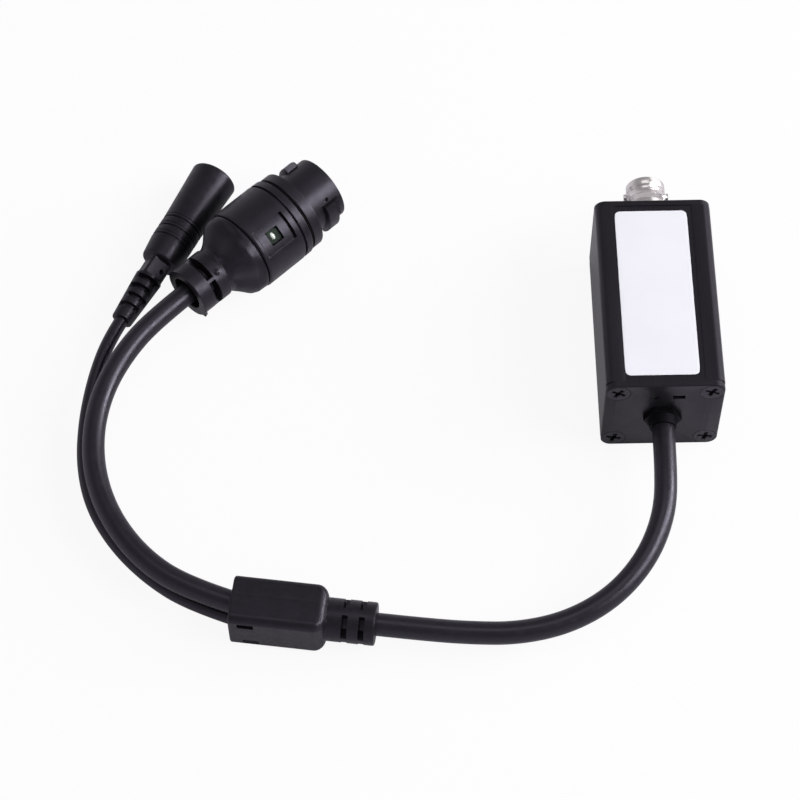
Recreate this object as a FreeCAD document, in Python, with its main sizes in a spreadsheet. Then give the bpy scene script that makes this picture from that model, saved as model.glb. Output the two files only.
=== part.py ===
"""Video signal converter: an extruded aluminium box with a coaxial jack on one end, and a
cable on the other end that splits into a waterproof network socket and a power jack.

Millimetres, +Z up. The box stands on z = 0 with its long axis along Y and the coaxial jack
towards +Y. The origin is below the middle of the box with its jack and its gland.
"""
import FreeCAD, Part
import math
import os
import re
import Sketcher

doc = FreeCAD.newDocument("VideoSignalConverter")

# Driving dimensions: alias, value, meaning
SIZES = [
    ("box_width", 28.0, "outside width of the box, along X"),
    ("box_height", 27.0, "outside height of the box"),
    ("sleeve_length", 49.6, "length of the extruded sleeve between the end plates"),
    ("sleeve_wall", 1.6, "wall of the extrusion"),
    ("sleeve_corner", 2.0, "outside radius of the sleeve's long edges"),
    ("plate_thickness", 1.6, "end plate thickness"),
    ("plate_corner", 2.6, "corner radius of the end plates"),
    ("plate_edge", 0.25, "chamfer around the outer face of an end plate"),
    ("screw_inset_wide", 3.0, "distance of a screw from the side of the box"),
    ("screw_inset_tall", 3.25, "distance of a screw from the top or bottom of the box"),
    ("head_radius", 2.9, "radius of a countersunk screw head"),
    ("head_depth", 1.35, "height of the head's cone"),
    ("shank_radius", 1.45, "radius of a screw shank"),
    ("shank_length", 8.0, "length of a screw with its head"),
    ("screw_clearance", 0.05, "radial room around a screw and its head"),
    ("cross_span", 3.5, "tip to tip size of the cross recess"),
    ("cross_arm", 0.85, "width of one arm of the cross recess"),
    ("cross_depth", 1.0, "depth of the cross recess"),
    ("channel_radius", 2.7, "outside radius of a screw channel in the sleeve"),
    ("label_width", 17.5, "label width"),
    ("label_length", 46.0, "label length"),
    ("label_thickness", 0.12, "label thickness"),
    ("label_corner", 1.3, "label corner radius"),
    ("label_offset", -0.45, "label centre from the middle of the box, along X"),
    ("label_bed_width", 18.8, "width of the shallow bed that the label lies in"),
    ("label_bed_depth", 0.2, "depth of the label's bed"),
    ("board_drop", 6.8, "distance from the top of the box to the circuit board"),
    ("board_thickness", 1.6, "circuit board thickness"),
    ("board_shortfall", 2.8, "how much shorter the board is than the sleeve"),
    ("board_end_gap", 0.4, "room between the board and the cable end plate"),
    ("board_clearance", 0.1, "room between the board and its grooves"),
    ("video_chip_side", 10.0, "side of the video chip"),
    ("video_chip_height", 1.4, "height of the video chip"),
    ("network_chip_side", 7.0, "side of the network chip"),
    ("network_chip_height", 1.0, "height of the network chip"),
    ("transformer_width", 12.8, "width of the network transformer"),
    ("transformer_depth", 7.2, "depth of the network transformer"),
    ("transformer_height", 4.0, "height of the network transformer"),
    ("crystal_width", 4.6, "width of the crystal's can"),
    ("crystal_length", 10.4, "length of the crystal's can"),
    ("crystal_height", 3.4, "height of the crystal's can"),
    ("inductor_side", 6.0, "side of the inductor"),
    ("inductor_height", 3.2, "height of the inductor"),
    ("capacitor_radius", 3.15, "radius of the capacitor's can"),
    ("capacitor_height", 7.0, "height of the capacitor's can"),
    ("header_width", 9.5, "width of the wire header"),
    ("header_depth", 4.5, "depth of the wire header"),
    ("core_radius", 0.45, "radius of an insulated wire"),
    ("core_pitch", 1.15, "distance from one wire to the next"),
    ("rail_depth", 1.3, "how far a board rail stands out from the wall"),
    ("rail_height", 0.9, "height of a board rail"),
    ("slot_offset", 3.37, "reset slot centre from the middle of the box"),
    ("slot_drop", 5.15, "distance from the top of the box to the reset slot and the light"),
    ("slot_width", 2.9, "reset slot width"),
    ("slot_tall", 1.45, "reset slot height"),
    ("plunger_clearance", 0.15, "room around the reset plunger"),
    ("plunger_sink", 0.9, "depth of the plunger's tip below the plate's face"),
    ("reset_travel", 0.25, "travel of the reset plunger"),
    ("light_offset", -2.3, "status light centre from the middle of the box"),
    ("light_radius", 0.95, "radius of the status light's lens"),
    ("light_clearance", 0.1, "room around the lens"),
    ("gland_flats", 8.0, "gland flange across its flats"),
    ("gland_flange", 1.3, "gland flange thickness"),
    ("gland_collar", 2.2, "length of the collar in front of the flange"),
    ("gland_neck_radius", 3.5, "gland radius where it passes through the plate"),
    ("gland_clearance", 0.05, "room between the gland and its hole"),
    ("gland_tail", 4.0, "length of the gland inside the box"),
    ("cable_radius", 2.7, "radius of the main cable and of the network tail"),
    ("power_cable_radius", 1.75, "radius of the power tail"),
    ("jack_reach", 13.3, "length of the coaxial jack outside the plate"),
    ("jack_barrel_radius", 4.8, "radius of the coaxial jack's barrel"),
    ("jack_waist_radius", 4.3, "radius of the waist behind the barrel's nose"),
    ("jack_base_radius", 5.2, "radius of the barrel's foot"),
    ("jack_foot_length", 2.3, "length of the barrel's foot"),
    ("jack_foot_place", 6.6, "distance of the foot's front from the rim"),
    ("jack_waist_front", 2.6, "distance of the waist's front from the rim"),
    ("jack_waist_back", 4.4, "distance of the waist's back from the rim"),
    ("jack_thread_radius", 4.6, "radius of the coaxial jack's thread"),
    ("jack_bore", 4.05, "radius of the coaxial jack's mouth"),
    ("jack_mouth_depth", 9.0, "depth of the coaxial jack's mouth"),
    ("jack_lug_radius", 0.95, "radius of a bayonet lug"),
    ("jack_lug_span", 11.0, "distance over both bayonet lugs"),
    ("jack_lug_place", 3.3, "distance of the bayonet lugs from the rim"),
    ("jack_nut_flats", 12.7, "coaxial jack nut across its flats"),
    ("jack_nut_thickness", 2.4, "coaxial jack nut thickness"),
    ("jack_washer_thickness", 0.6, "lock washer thickness"),
    ("jack_flange_radius", 6.4, "radius of the flange behind the plate"),
    ("jack_flange_thickness", 2.0, "thickness of the flange behind the plate"),
    ("jack_block_length", 8.0, "length of the jack's block under the board"),
    ("jack_block_width", 10.0, "width of the jack's block"),
    ("insulator_radius", 3.2, "radius of the insulator in the shell"),
    ("insulator_nose_radius", 2.4, "radius of the insulator's nose in the mouth"),
    ("contact_radius", 1.08, "radius of the centre contact"),
    ("contact_bore", 0.68, "bore of the centre contact"),
    ("tail_radius", 0.5, "radius of the centre contact's tail"),
    ("fit_clearance", 0.05, "room between parts that are pushed together"),
    ("splitter_x", -101.7, "middle of the splitter's tail face, along X"),
    ("splitter_y", -76.7, "middle of the splitter's tail face, along Y"),
    ("splitter_turn", -8.0, "turn of the splitter's axis from +X"),
    ("splitter_length", 22.3, "length of the splitter's block"),
    ("splitter_width", 12.3, "width of the splitter's block"),
    ("splitter_height", 12.9, "height of the splitter's block"),
    ("splitter_round", 3.0, "radius of the block's corners at the relief"),
    ("splitter_edge", 1.7, "radius of the block's long edges"),
    ("splitter_mark_length", 3.6, "length of a moulding mark in the splitter's side"),
    ("splitter_mark_height", 1.5, "height of a moulding mark"),
    ("splitter_mark_depth", 0.45, "depth of a moulding mark"),
    ("relief_radius", 5.05, "radius of the splitter's strain relief"),
    ("relief_length", 11.2, "length of the splitter's strain relief"),
    ("relief_core", 3.5, "radius left between the slots of a strain relief"),
    ("relief_slot", 1.2, "width of a strain relief slot"),
    ("relief_slot_start", 3.6, "first slot's distance from the splitter's block"),
    ("relief_slot_pitch", 3.9, "distance from one slot of that relief to the next"),
    ("relief_spine", 156.0, "angle that one slot covers"),
    ("tail_socket", 1.2, "depth of the sockets that the tails leave from"),
    ("tail_clearance", 0.35, "room around a tail in its socket"),
    ("network_exit_side", 0.5, "network tail's exit from the splitter's middle, sideways"),
    ("network_exit_height", 8.5, "height of the network tail's exit"),
    ("power_exit_side", -1.1, "power tail's exit from the splitter's middle, sideways"),
    ("power_exit_height", 3.6, "height of the power tail's exit"),
    ("network_x", -114.0, "rear end of the network socket, along X"),
    ("network_y", 7.2, "rear end of the network socket, along Y"),
    ("network_turn", 43.2, "turn of the network socket's axis from +X"),
    ("network_body_radius", 11.0, "radius of the network socket's body"),
    ("network_barrel_radius", 8.35, "radius of the network socket's barrel"),
    ("network_flange_radius", 10.6, "radius of the network socket's flange"),
    ("network_bore", 7.5, "bore of the barrel that holds the jack insert"),
    ("network_seam", 18.0, "seam between boot and body, from the rear end"),
    ("network_flange_front", 35.9, "front face of the flange, from the rear end"),
    ("network_groove_place", 5.6, "front of the body's groove, behind the flange's front"),
    ("network_groove_width", 0.5, "width and depth of the body's groove"),
    ("seal_place", 3.5, "rear of the seal's groove, behind the flange's front"),
    ("network_length", 45.4, "length of the network socket"),
    ("network_lug_radius", 9.6, "radius over the bayonet lugs"),
    ("network_lug_start", 39.3, "start of the bayonet lugs, from the rear end"),
    ("network_lug_length", 3.6, "length of the bayonet lugs"),
    ("network_lug_angle", 78.0, "angle that one bayonet lug covers"),
    ("network_relief_radius", 6.6, "radius of the boot's strain relief"),
    ("network_relief_bore", 4.4, "radius of the recess that the cable leaves from"),
    ("network_relief_depth", 2.5, "depth of that recess"),
    ("boot_neck_start", 8.9, "start of the boot's neck, from the rear end"),
    ("boot_neck_end", 9.4, "end of the boot's neck"),
    ("boot_neck_depth", 0.4, "depth of the boot's neck"),
    ("boot_shoulder_start", 16.0, "start of the boot's straight shoulder"),
    ("boot_slot_start", 4.0, "start of the boot's slots, from the rear end"),
    ("boot_slot_width", 1.6, "width of the boot's slots"),
    ("boot_slot_turn", 83.0, "turn of the boot's first slot from the sideways direction"),
    ("boot_slot_cover", 78.0, "angle that one slot of the boot covers"),
    ("seal_radius", 0.38, "section radius of the seal ring"),
    ("window_size", 3.4, "side of the network socket's light window"),
    ("window_turn", 40.0, "turn of the window's flat from the top"),
    ("window_flat", 10.4, "distance of the window's flat from the axis"),
    ("port_width", 11.9, "width of the modular jack's port"),
    ("port_height", 6.9, "height of the modular jack's port"),
    ("port_depth", 12.6, "depth of the modular jack's port"),
    ("port_lift", 0.4, "height of the port's middle above the axis"),
    ("latch_wide", 6.2, "width of the latch way at the port"),
    ("latch_narrow", 3.8, "width of the latch way at its bottom"),
    ("latch_step", 1.7, "depth of the latch way's wide part"),
    ("latch_depth", 2.9, "depth of the whole latch way"),
    ("port_pitch", 1.02, "distance between the modular contacts"),
    ("power_x", -130.4, "rear end of the power jack, along X"),
    ("power_y", 2.8, "rear end of the power jack, along Y"),
    ("power_turn", 62.5, "turn of the power jack's axis from +X"),
    ("power_length", 47.8, "length of the power jack"),
    ("power_tip_radius", 6.0, "radius of the power jack at its mouth"),
    ("power_ring_radius", 5.3, "radius of the power jack at its rings"),
    ("power_ring_start", 24.4, "first ring groove, from the rear end"),
    ("power_ring_pitch", 2.8, "distance from one ring groove to the next"),
    ("power_ring_groove", 0.7, "width of a ring groove"),
    ("power_ring_depth", 0.4, "depth of a ring groove"),
    ("power_collar_radius", 4.8, "radius of the power jack's collar"),
    ("power_neck_radius", 3.6, "radius of the power jack's neck"),
    ("power_neck_turn", 63.0, "turn of the neck's flat with the hole"),
    ("power_neck_flat", 2.8, "distance of the neck's flats from the axis"),
    ("power_neck_start", 13.6, "start of the neck's flats, from the rear end"),
    ("power_neck_length", 5.0, "length of the neck's flats"),
    ("power_neck_hole", 0.45, "radius of the hole in the neck"),
    ("power_slot_start", 2.8, "first slot of the power jack's relief, from the rear end"),
    ("power_slot_pitch", 2.9, "distance from one of its slots to the next"),
    ("power_slot_width", 1.2, "width of one of its slots"),
    ("power_slot_turn", 92.0, "turn of the first slot of the power jack's relief"),
    ("power_slot_shift", 24.0, "turn between its neighbouring slots"),
    ("power_slot_cover", 138.0, "angle that one of its slots covers"),
    ("power_relief_radius", 2.7, "radius of the power jack's relief at its end"),
    ("power_insert_radius", 4.3, "radius of the power jack's insert"),
    ("power_bore", 2.75, "bore of the power jack"),
    ("power_bore_depth", 10.0, "depth of the power jack's bore"),
    ("power_pin_radius", 1.05, "radius of the power jack's pin"),
    ("power_root_radius", 0.8, "radius of the pin's root in the insert"),
]

sheet = doc.addObject("Spreadsheet::Sheet", "Sizes")
for row, (alias, number, meaning) in enumerate(SIZES, start=1):
    sheet.set("A%d" % row, alias)
    sheet.set("B%d" % row, str(number))
    sheet.set("C%d" % row, meaning)
    sheet.setAlias("B%d" % row, alias)
doc.recompute()

WORD = re.compile(r"[a-z]+(?:_[a-z]+)+|\b[a-z]+_[a-z]+\b")
ALIASES = {alias for alias, number, meaning in SIZES}

# An object whose one property reads an expression's number
gauge = doc.addObject("App::FeaturePython", "Gauge")
gauge.addProperty("App::PropertyFloat", "Reading")

# Places that several pieces share, written from the driving dimensions
BOX_MIDDLE = "(gland_flange + gland_collar - jack_reach) / 2"
AXIS_HEIGHT = "(box_height / 2)"
CABLE_FACE = "(%s - sleeve_length / 2 - plate_thickness)" % BOX_MIDDLE
COAX_FACE = "(%s + sleeve_length / 2 + plate_thickness)" % BOX_MIDDLE
BOARD_TOP = "(box_height - board_drop)"
BOARD_UNDER = "(%s - board_thickness)" % BOARD_TOP
BOARD_LENGTH = "(sleeve_length - board_shortfall)"
BOARD_MIDDLE = "(%s - (board_shortfall - 2 * board_end_gap) / 2)" % BOX_MIDDLE
SLOT_HEIGHT = "(box_height - slot_drop)"
INSIDE_WIDTH = "(box_width - 2 * sleeve_wall)"


def bound(text):
    """The expression with each alias tied to the sheet."""
    return WORD.sub(lambda found: "Sizes." + found.group(0) if found.group(0) in ALIASES
                    else found.group(0), str(text))


def value(text):
    """The number that an expression stands for now."""
    gauge.setExpression("Reading", bound(text))
    gauge.recompute()
    return gauge.Reading


def tie(target, **properties):
    """Bind properties to expressions; at= gives the three coordinates of the placement."""
    for name, text in properties.items():
        if name == "at":
            for letter, coordinate in zip("xyz", text):
                target.setExpression("Placement.Base." + letter, bound(coordinate))
        else:
            target.setExpression(name, bound(text))
    return target


def primitive(kind, name, axis=None, **properties):
    """A Part primitive; axis is a (vector, angle) pair that turns it first."""
    target = doc.addObject("Part::" + kind, name)
    if axis:
        target.Placement.Rotation = FreeCAD.Rotation(FreeCAD.Vector(*axis[0]), axis[1])
    return tie(target, **properties)


def block(name, wide, deep, tall, at, **more):
    """A box given by its size and the middle of its lower face."""
    x, y, z = at
    return primitive("Box", name, Length=wide, Width=deep, Height=tall,
                     at=("(%s) - (%s) / 2" % (x, wide), "(%s) - (%s) / 2" % (y, deep), z), **more)


def rod_y(name, radius, length, at):
    """A cylinder along +Y from its end at the given place."""
    return primitive("Cylinder", name, axis=((1, 0, 0), -90), Radius=radius, Height=length, at=at)


def cut(name, base, tool):
    result = doc.addObject("Part::Cut", name)
    result.Base = base
    result.Tool = tool
    return result


def fuse(name, *pieces):
    result = doc.addObject("Part::MultiFuse", name)
    result.Shapes = list(pieces)
    return result


def compound(name, pieces):
    result = doc.addObject("Part::Compound", name)
    result.Links = list(pieces)
    return result


def new_body(name):
    return doc.addObject("PartDesign::Body", name)


def sketch_on(body, role, name, turn=None, lift="0"):
    """A sketch on one of the body's own planes; turn swings it about its first axis."""
    sketch = body.newObject("Sketcher::SketchObject", name)
    plane = [feature for feature in body.Origin.OriginFeatures if feature.Role == role][0]
    sketch.AttachmentSupport = (plane, [""])
    sketch.MapMode = "FlatFace"
    swing = value(turn) if turn else 0.0
    sketch.AttachmentOffset = FreeCAD.Placement(
        FreeCAD.Vector(), FreeCAD.Rotation(FreeCAD.Vector(1, 0, 0), swing))
    if turn:
        tie(sketch, **{"AttachmentOffset.Base.y": "-(%s) * sin((%s) * 1deg)" % (lift, turn),
                       "AttachmentOffset.Base.z": "(%s) * cos((%s) * 1deg)" % (lift, turn),
                       "AttachmentOffset.Rotation.Angle": turn})
    elif lift != "0":
        tie(sketch, **{"AttachmentOffset.Base.z": lift})
    return sketch


def outline(sketch, points):
    """A closed outline. Each point is (x, y) and starts a line, or (x, y, radius, side) and
    starts an arc whose centre lies to the left (side 1) or right (side -1) of the way."""
    places = [FreeCAD.Vector(value(p[0]), value(p[1]), 0) for p in points]
    count = len(points)
    first = sketch.GeometryCount
    for index, point in enumerate(points):
        start, end = places[index], places[(index + 1) % count]
        if len(point) == 4:
            sketch.addGeometry(arc_between(start, end, value(point[2]), point[3]))
        else:
            sketch.addGeometry(Part.LineSegment(start, end))
    ends = [arc_ends(point) for point in points]
    for index in range(count):
        following = (index + 1) % count
        sketch.addConstraint(Sketcher.Constraint(
            "Coincident", first + index, ends[index][1], first + following, ends[following][0]))
    for index, point in enumerate(points):
        pin(sketch, first + index, ends[index][0], point[0], point[1])
        if len(point) == 4:
            number = sketch.addConstraint(Sketcher.Constraint("Radius", first + index, value(point[2])))
            sketch.setExpression("Constraints[%d]" % number, bound(point[2]))


def arc_ends(point):
    """Which vertex of a sketch arc or line is its start and which its end along the way."""
    backwards = len(point) == 4 and point[3] < 0
    return (2, 1) if backwards else (1, 2)


def arc_between(start, end, radius, side):
    """An arc of less than half a turn; its centre is left (1) or right (-1) of the way."""
    chord = end - start
    half = chord.Length / 2
    rise = math.sqrt(max(radius ** 2 - half ** 2, 0.0))
    left = FreeCAD.Vector(-chord.y, chord.x, 0).normalize()
    centre = start + chord / 2 + left * (side * rise)
    middle = centre - left * (side * radius)
    return Part.ArcOfCircle(start, middle, end)


def pin(sketch, geometry, vertex, x, y):
    """Fix a vertex by its two coordinates, each bound to its expression."""
    for kind, text in (("DistanceX", x), ("DistanceY", y)):
        number = sketch.addConstraint(Sketcher.Constraint(kind, geometry, vertex, value(text)))
        sketch.setExpression("Constraints[%d]" % number, bound(text))


def circle(sketch, x, y, radius):
    place = FreeCAD.Vector(value(x), value(y), 0)
    number = sketch.addGeometry(Part.Circle(place, FreeCAD.Vector(0, 0, 1), value(radius)))
    pin(sketch, number, 3, x, y)
    constraint = sketch.addConstraint(Sketcher.Constraint("Radius", number, value(radius)))
    sketch.setExpression("Constraints[%d]" % constraint, bound(radius))


def rectangle(sketch, x, y, wide, tall):
    """A rectangle about its middle."""
    left, right = "(%s) - (%s) / 2" % (x, wide), "(%s) + (%s) / 2" % (x, wide)
    low, high = "(%s) - (%s) / 2" % (y, tall), "(%s) + (%s) / 2" % (y, tall)
    outline(sketch, [(left, low), (right, low), (right, high), (left, high)])


def rounded(sketch, x, y, wide, tall, corner):
    """A rectangle about its middle with round corners."""
    left, right = "(%s) - (%s) / 2" % (x, wide), "(%s) + (%s) / 2" % (x, wide)
    low, high = "(%s) - (%s) / 2" % (y, tall), "(%s) + (%s) / 2" % (y, tall)
    outline(sketch, [
        ("%s + (%s)" % (left, corner), low),
        ("%s - (%s)" % (right, corner), low, corner, 1),
        (right, "%s + (%s)" % (low, corner)),
        (right, "%s - (%s)" % (high, corner), corner, 1),
        ("%s - (%s)" % (right, corner), high),
        ("%s + (%s)" % (left, corner), high, corner, 1),
        (left, "%s - (%s)" % (high, corner)),
        (left, "%s + (%s)" % (low, corner), corner, 1)])


def feature(body, kind, name, sketch, **properties):
    """A PartDesign feature on a sketch, with plain or bound properties."""
    result = body.newObject("PartDesign::" + kind, name)
    result.Profile = sketch
    for key, content in properties.items():
        if isinstance(content, str) and key in ("Length", "Angle"):
            tie(result, **{key: content})
        else:
            setattr(result, key, content)
    return result


def dress(body, kind, name, edges, **properties):
    """A chamfer or a fillet on edges of the body as it stands."""
    base = body.Tip
    result = body.newObject("PartDesign::" + kind, name)
    result.Base = (base, edges)
    return tie(result, **properties)


def turned(body, kind, name, points, turn=None, angle="360"):
    """A profile in axial and radial sizes, revolved about the body's X axis."""
    sketch = sketch_on(body, "XY_Plane", name + "_profile", turn)
    outline(sketch, points)
    result = feature(body, kind, name, sketch, Angle=angle, Midplane=angle != "360")
    result.ReferenceAxis = (sketch, ["H_Axis"])
    return result


def set_along(target, x, y, z, turn):
    """Place a piece whose own axis is X: its place, and its turn about the upright."""
    target.Placement.Rotation = FreeCAD.Rotation(FreeCAD.Vector(0, 0, 1), value(turn))
    tie(target, at=(x, y, z))
    target.setExpression("Placement.Rotation.Angle", bound(turn))
    return target


def screw_places():
    """The four screw places on an end plate, as expressions for X and Z."""
    for side in (-1, 1):
        for level in (-1, 1):
            yield ("(%d * (box_width / 2 - screw_inset_wide))" % side,
                   "(%s + %d * (box_height / 2 - screw_inset_tall))" % (AXIS_HEIGHT, level))


def housing_sleeve():
    """The extrusion: wall, four screw channels, board rails and the label's bed."""
    body = new_body("housing_sleeve")
    wall = sketch_on(body, "XZ_Plane", "sleeve_section")
    rounded(wall, "0", AXIS_HEIGHT, "box_width", "box_height", "sleeve_corner")
    feature(body, "Pad", "sleeve_block", wall, Length="sleeve_length", Midplane=True)
    hollow = sketch_on(body, "XZ_Plane", "sleeve_hollow")
    rectangle(hollow, "0", AXIS_HEIGHT, "box_width - 2 * sleeve_wall", "box_height - 2 * sleeve_wall")
    feature(body, "Pocket", "sleeve_cavity", hollow, Length="sleeve_length + 2", Midplane=True)
    inside = "(box_width / 2 - sleeve_wall)"
    rails = sketch_on(body, "XZ_Plane", "rail_section")
    for side in (-1, 1):
        for level in ("%s + board_clearance + rail_height / 2" % BOARD_TOP,
                      "%s - board_clearance - rail_height / 2" % BOARD_UNDER):
            rectangle(rails, "%d * (%s - rail_depth / 2 + sleeve_wall / 4)" % (side, inside), level,
                      "rail_depth + sleeve_wall / 2", "rail_height")
    feature(body, "Pad", "board_rails", rails, Length="sleeve_length", Midplane=True)
    channels = sketch_on(body, "XZ_Plane", "channel_section")
    for x, z in screw_places():
        circle(channels, x, z, "channel_radius")
    feature(body, "Pad", "screw_channels", channels, Length="sleeve_length", Midplane=True)
    bores = sketch_on(body, "XZ_Plane", "bore_section")
    for x, z in screw_places():
        circle(bores, x, z, "shank_radius + screw_clearance")
    feature(body, "Pocket", "channel_bores", bores, Length="sleeve_length + 2", Midplane=True)
    bed = sketch_on(body, "XZ_Plane", "bed_section")
    rectangle(bed, "0", "box_height", "label_bed_width", "2 * label_bed_depth")
    feature(body, "Pocket", "label_bed", bed, Length="sleeve_length + 2", Midplane=True)
    return tie(body, at=("0", BOX_MIDDLE, "0"))


def end_plate(name, outward):
    """A plate with four countersunk holes; outward is the way that its face looks."""
    body = new_body(name + "_blank")
    section = sketch_on(body, "XZ_Plane", name + "_section")
    rounded(section, "0", AXIS_HEIGHT, "box_width", "box_height", "plate_corner")
    feature(body, "Pad", name + "_pad", section, Length="plate_thickness", Midplane=True)
    doc.recompute()
    face = outward * value("plate_thickness") / 2
    edges = ["Edge%d" % (number + 1) for number, edge in enumerate(body.Shape.Edges)
             if all(abs(vertex.Point.y - face) < 1e-6 for vertex in edge.Vertexes)]
    dress(body, "Chamfer", name + "_edge", edges, Size="plate_edge")
    tie(body, at=("0", "%s + %d * (sleeve_length + plate_thickness) / 2" % (BOX_MIDDLE, outward), "0"))
    face_at = COAX_FACE if outward > 0 else CABLE_FACE
    turn = 90 if outward > 0 else -90
    tools = []
    for number, (x, z) in enumerate(screw_places()):
        sink = primitive("Cone", "%s_sink_%d" % (name, number), axis=((1, 0, 0), turn),
                         Radius1="head_radius + screw_clearance",
                         Radius2="shank_radius + screw_clearance", Height="head_depth",
                         at=(x, face_at, z))
        hole = rod_y("%s_hole_%d" % (name, number), "shank_radius + screw_clearance",
                     "2 * plate_thickness + 1", (x, "%s - plate_thickness - 0.5" % face_at, z))
        tools += [sink, hole]
    return body, tools


def hex_prism(name, flats, length, at, away):
    """A hexagonal prism along Y with a corner on each side."""
    prism = doc.addObject("Part::Prism", name)
    prism.Polygon = 6
    prism.Placement.Rotation = FreeCAD.Rotation(FreeCAD.Vector(1, 0, 0), 90 if away < 0 else -90)
    return tie(prism, Circumradius="(%s) / 2 / cos(30deg)" % flats, Height=length, at=at)


def cable_end_plate():
    """The plate with the gland's hole, the reset slot and the status light's hole."""
    blank, tools = end_plate("cable_end_plate", -1)
    before = "%s - 1" % CABLE_FACE
    through = "plate_thickness + 2"
    tools.append(rod_y("gland_hole", "gland_neck_radius + gland_clearance", through,
                       ("0", before, AXIS_HEIGHT)))
    tools.append(rod_y("light_hole", "light_radius + light_clearance", through,
                       ("light_offset", before, SLOT_HEIGHT)))
    tools.append(block("slot_tool", "slot_width", through, "slot_tall",
                       ("slot_offset", "%s + plate_thickness / 2" % CABLE_FACE,
                        "%s - slot_tall / 2" % SLOT_HEIGHT)))
    return cut("cable_end_plate", blank, fuse("cable_end_tools", *tools))


def coax_end_plate():
    """The plate with the coaxial jack's hole."""
    blank, tools = end_plate("coax_end_plate", 1)
    tools.append(rod_y("jack_hole", "jack_thread_radius + gland_clearance", "plate_thickness + 2",
                       ("0", "%s - plate_thickness - 1" % COAX_FACE, AXIS_HEIGHT)))
    return cut("coax_end_plate", blank, fuse("coax_end_tools", *tools))


def screw(name, x, y, z, outward, cross_turn):
    """A countersunk screw with a cross recess, its head flush with the plate."""
    back = 90 if outward > 0 else -90
    head = primitive("Cone", name + "_head", axis=((1, 0, 0), back), Radius1="head_radius",
                     Radius2="shank_radius", Height="head_depth", at=(x, y, z))
    shank = primitive("Cylinder", name + "_shank", axis=((1, 0, 0), back), Radius="shank_radius",
                      Height="shank_length", at=(x, y, z))
    arms = []
    for number in range(2):
        arm = doc.addObject("Part::Box", "%s_arm_%d" % (name, number))
        tie(arm, Length="cross_span", Width="2 * cross_depth", Height="cross_arm",
            **{"Placement.Base.x": "-cross_span / 2", "Placement.Base.y": "-cross_depth",
               "Placement.Base.z": "-cross_arm / 2"})
        holder = compound("%s_arm_holder_%d" % (name, number), [arm])
        holder.Placement.Rotation = FreeCAD.Rotation(FreeCAD.Vector(0, 1, 0), cross_turn + 90 * number)
        arms.append(tie(holder, at=(x, y, z)))
    return cut(name, fuse(name + "_blank", head, shank), fuse(name + "_cross", *arms))


def screw_set(name, face, outward, turns):
    """Four like screws as one group; turns are the angles at which their crosses stopped."""
    screws = [screw("%s_%d" % (name, number), x, face, z, outward, turn)
              for number, ((x, z), turn) in enumerate(zip(screw_places(), turns))]
    return compound(name, screws)


def rating_label():
    """The rounded label in its bed."""
    body = new_body("rating_label")
    sheet_outline = sketch_on(body, "XY_Plane", "label_outline")
    rounded(sheet_outline, "label_offset", "0", "label_width", "label_length", "label_corner")
    feature(body, "Pad", "label_sheet", sheet_outline, Length="label_thickness")
    return tie(body, at=("0", BOX_MIDDLE, "box_height - label_bed_depth"))


JACK_LEG_PLACES = [(-3.8, -5.5), (3.8, -5.5)]
LEG_RADIUS = "0.6"
TAIL_DROP = "(plate_thickness + jack_flange_thickness + jack_block_length + 1.6)"


def circuit_board():
    """The board, with holes for the jack's legs and for the contact's tail."""
    board = block("board_blank", "%s - 2 * board_clearance" % INSIDE_WIDTH, BOARD_LENGTH,
                  "board_thickness", ("0", BOARD_MIDDLE, BOARD_UNDER))
    drills = [upright("leg_drill_%d" % number, "%s + fit_clearance" % LEG_RADIUS,
                      "board_thickness + 1", (str(x), leg_y(y), "%s - 0.5" % BOARD_UNDER))
              for number, (x, y) in enumerate(JACK_LEG_PLACES)]
    drills.append(upright("tail_drill", "tail_radius + fit_clearance", "board_thickness + 1",
                          ("0", "%s - %s" % (COAX_FACE, TAIL_DROP), "%s - 0.5" % BOARD_UNDER)))
    return cut("circuit_board", board, fuse("board_drills", *drills))


def upright(name, radius, height, at):
    """A cylinder along +Z from its lower end."""
    return primitive("Cylinder", name, Radius=radius, Height=height, at=at)


def leg_y(offset):
    """Where a leg of the coaxial jack stands, behind its flange."""
    return "%s - plate_thickness - jack_flange_thickness + (%s)" % (COAX_FACE, offset)


def chip(name, wide, deep, tall, x, y, above):
    """A component on the board, above or under it; x and y are shares of the board's size."""
    level = BOARD_TOP if above else "%s - %s" % (BOARD_UNDER, tall)
    return block(name, wide, deep, tall, (share_x(x), share_y(y), level))


def share_x(share):
    return "(%s) * %s" % (share, INSIDE_WIDTH)


def share_y(share):
    return "%s + (%s) * %s" % (BOARD_MIDDLE, share, BOARD_LENGTH)


def board_parts():
    """What the board carries besides the switch, the light and the coaxial jack."""
    video_chip = chip("video_chip", "video_chip_side", "video_chip_side", "video_chip_height",
                      0, 0.06, True)
    network_chip = chip("network_chip", "network_chip_side", "network_chip_side",
                        "network_chip_height", -0.26, -0.2, True)
    transformer = chip("network_transformer", "transformer_width", "transformer_depth",
                       "transformer_height", 0, 0.08, False)
    crystal = chip("timing_crystal", "crystal_width", "crystal_length", "crystal_height",
                   0.22, -0.19, True)
    block_place = (-0.27, -0.15)
    inductor = cut("power_inductor",
                   chip("inductor_block", "inductor_side", "inductor_side", "inductor_height",
                        *block_place, False),
                   upright("inductor_mark", "1.6", "0.4",
                           (share_x(block_place[0]), share_y(block_place[1]),
                            "%s - inductor_height" % BOARD_UNDER)))
    capacitor = upright("filter_capacitor", "capacitor_radius", "capacitor_height",
                        (share_x(0.27), share_y(-0.15), "%s - capacitor_height" % BOARD_UNDER))
    return [video_chip, network_chip, transformer, crystal, inductor, capacitor]


HEADER_TALL = "(%s - %s + 1.3)" % (BOARD_UNDER, AXIS_HEIGHT)
HEADER_PLACE = -0.3
CORE_COUNT = 4


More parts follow.
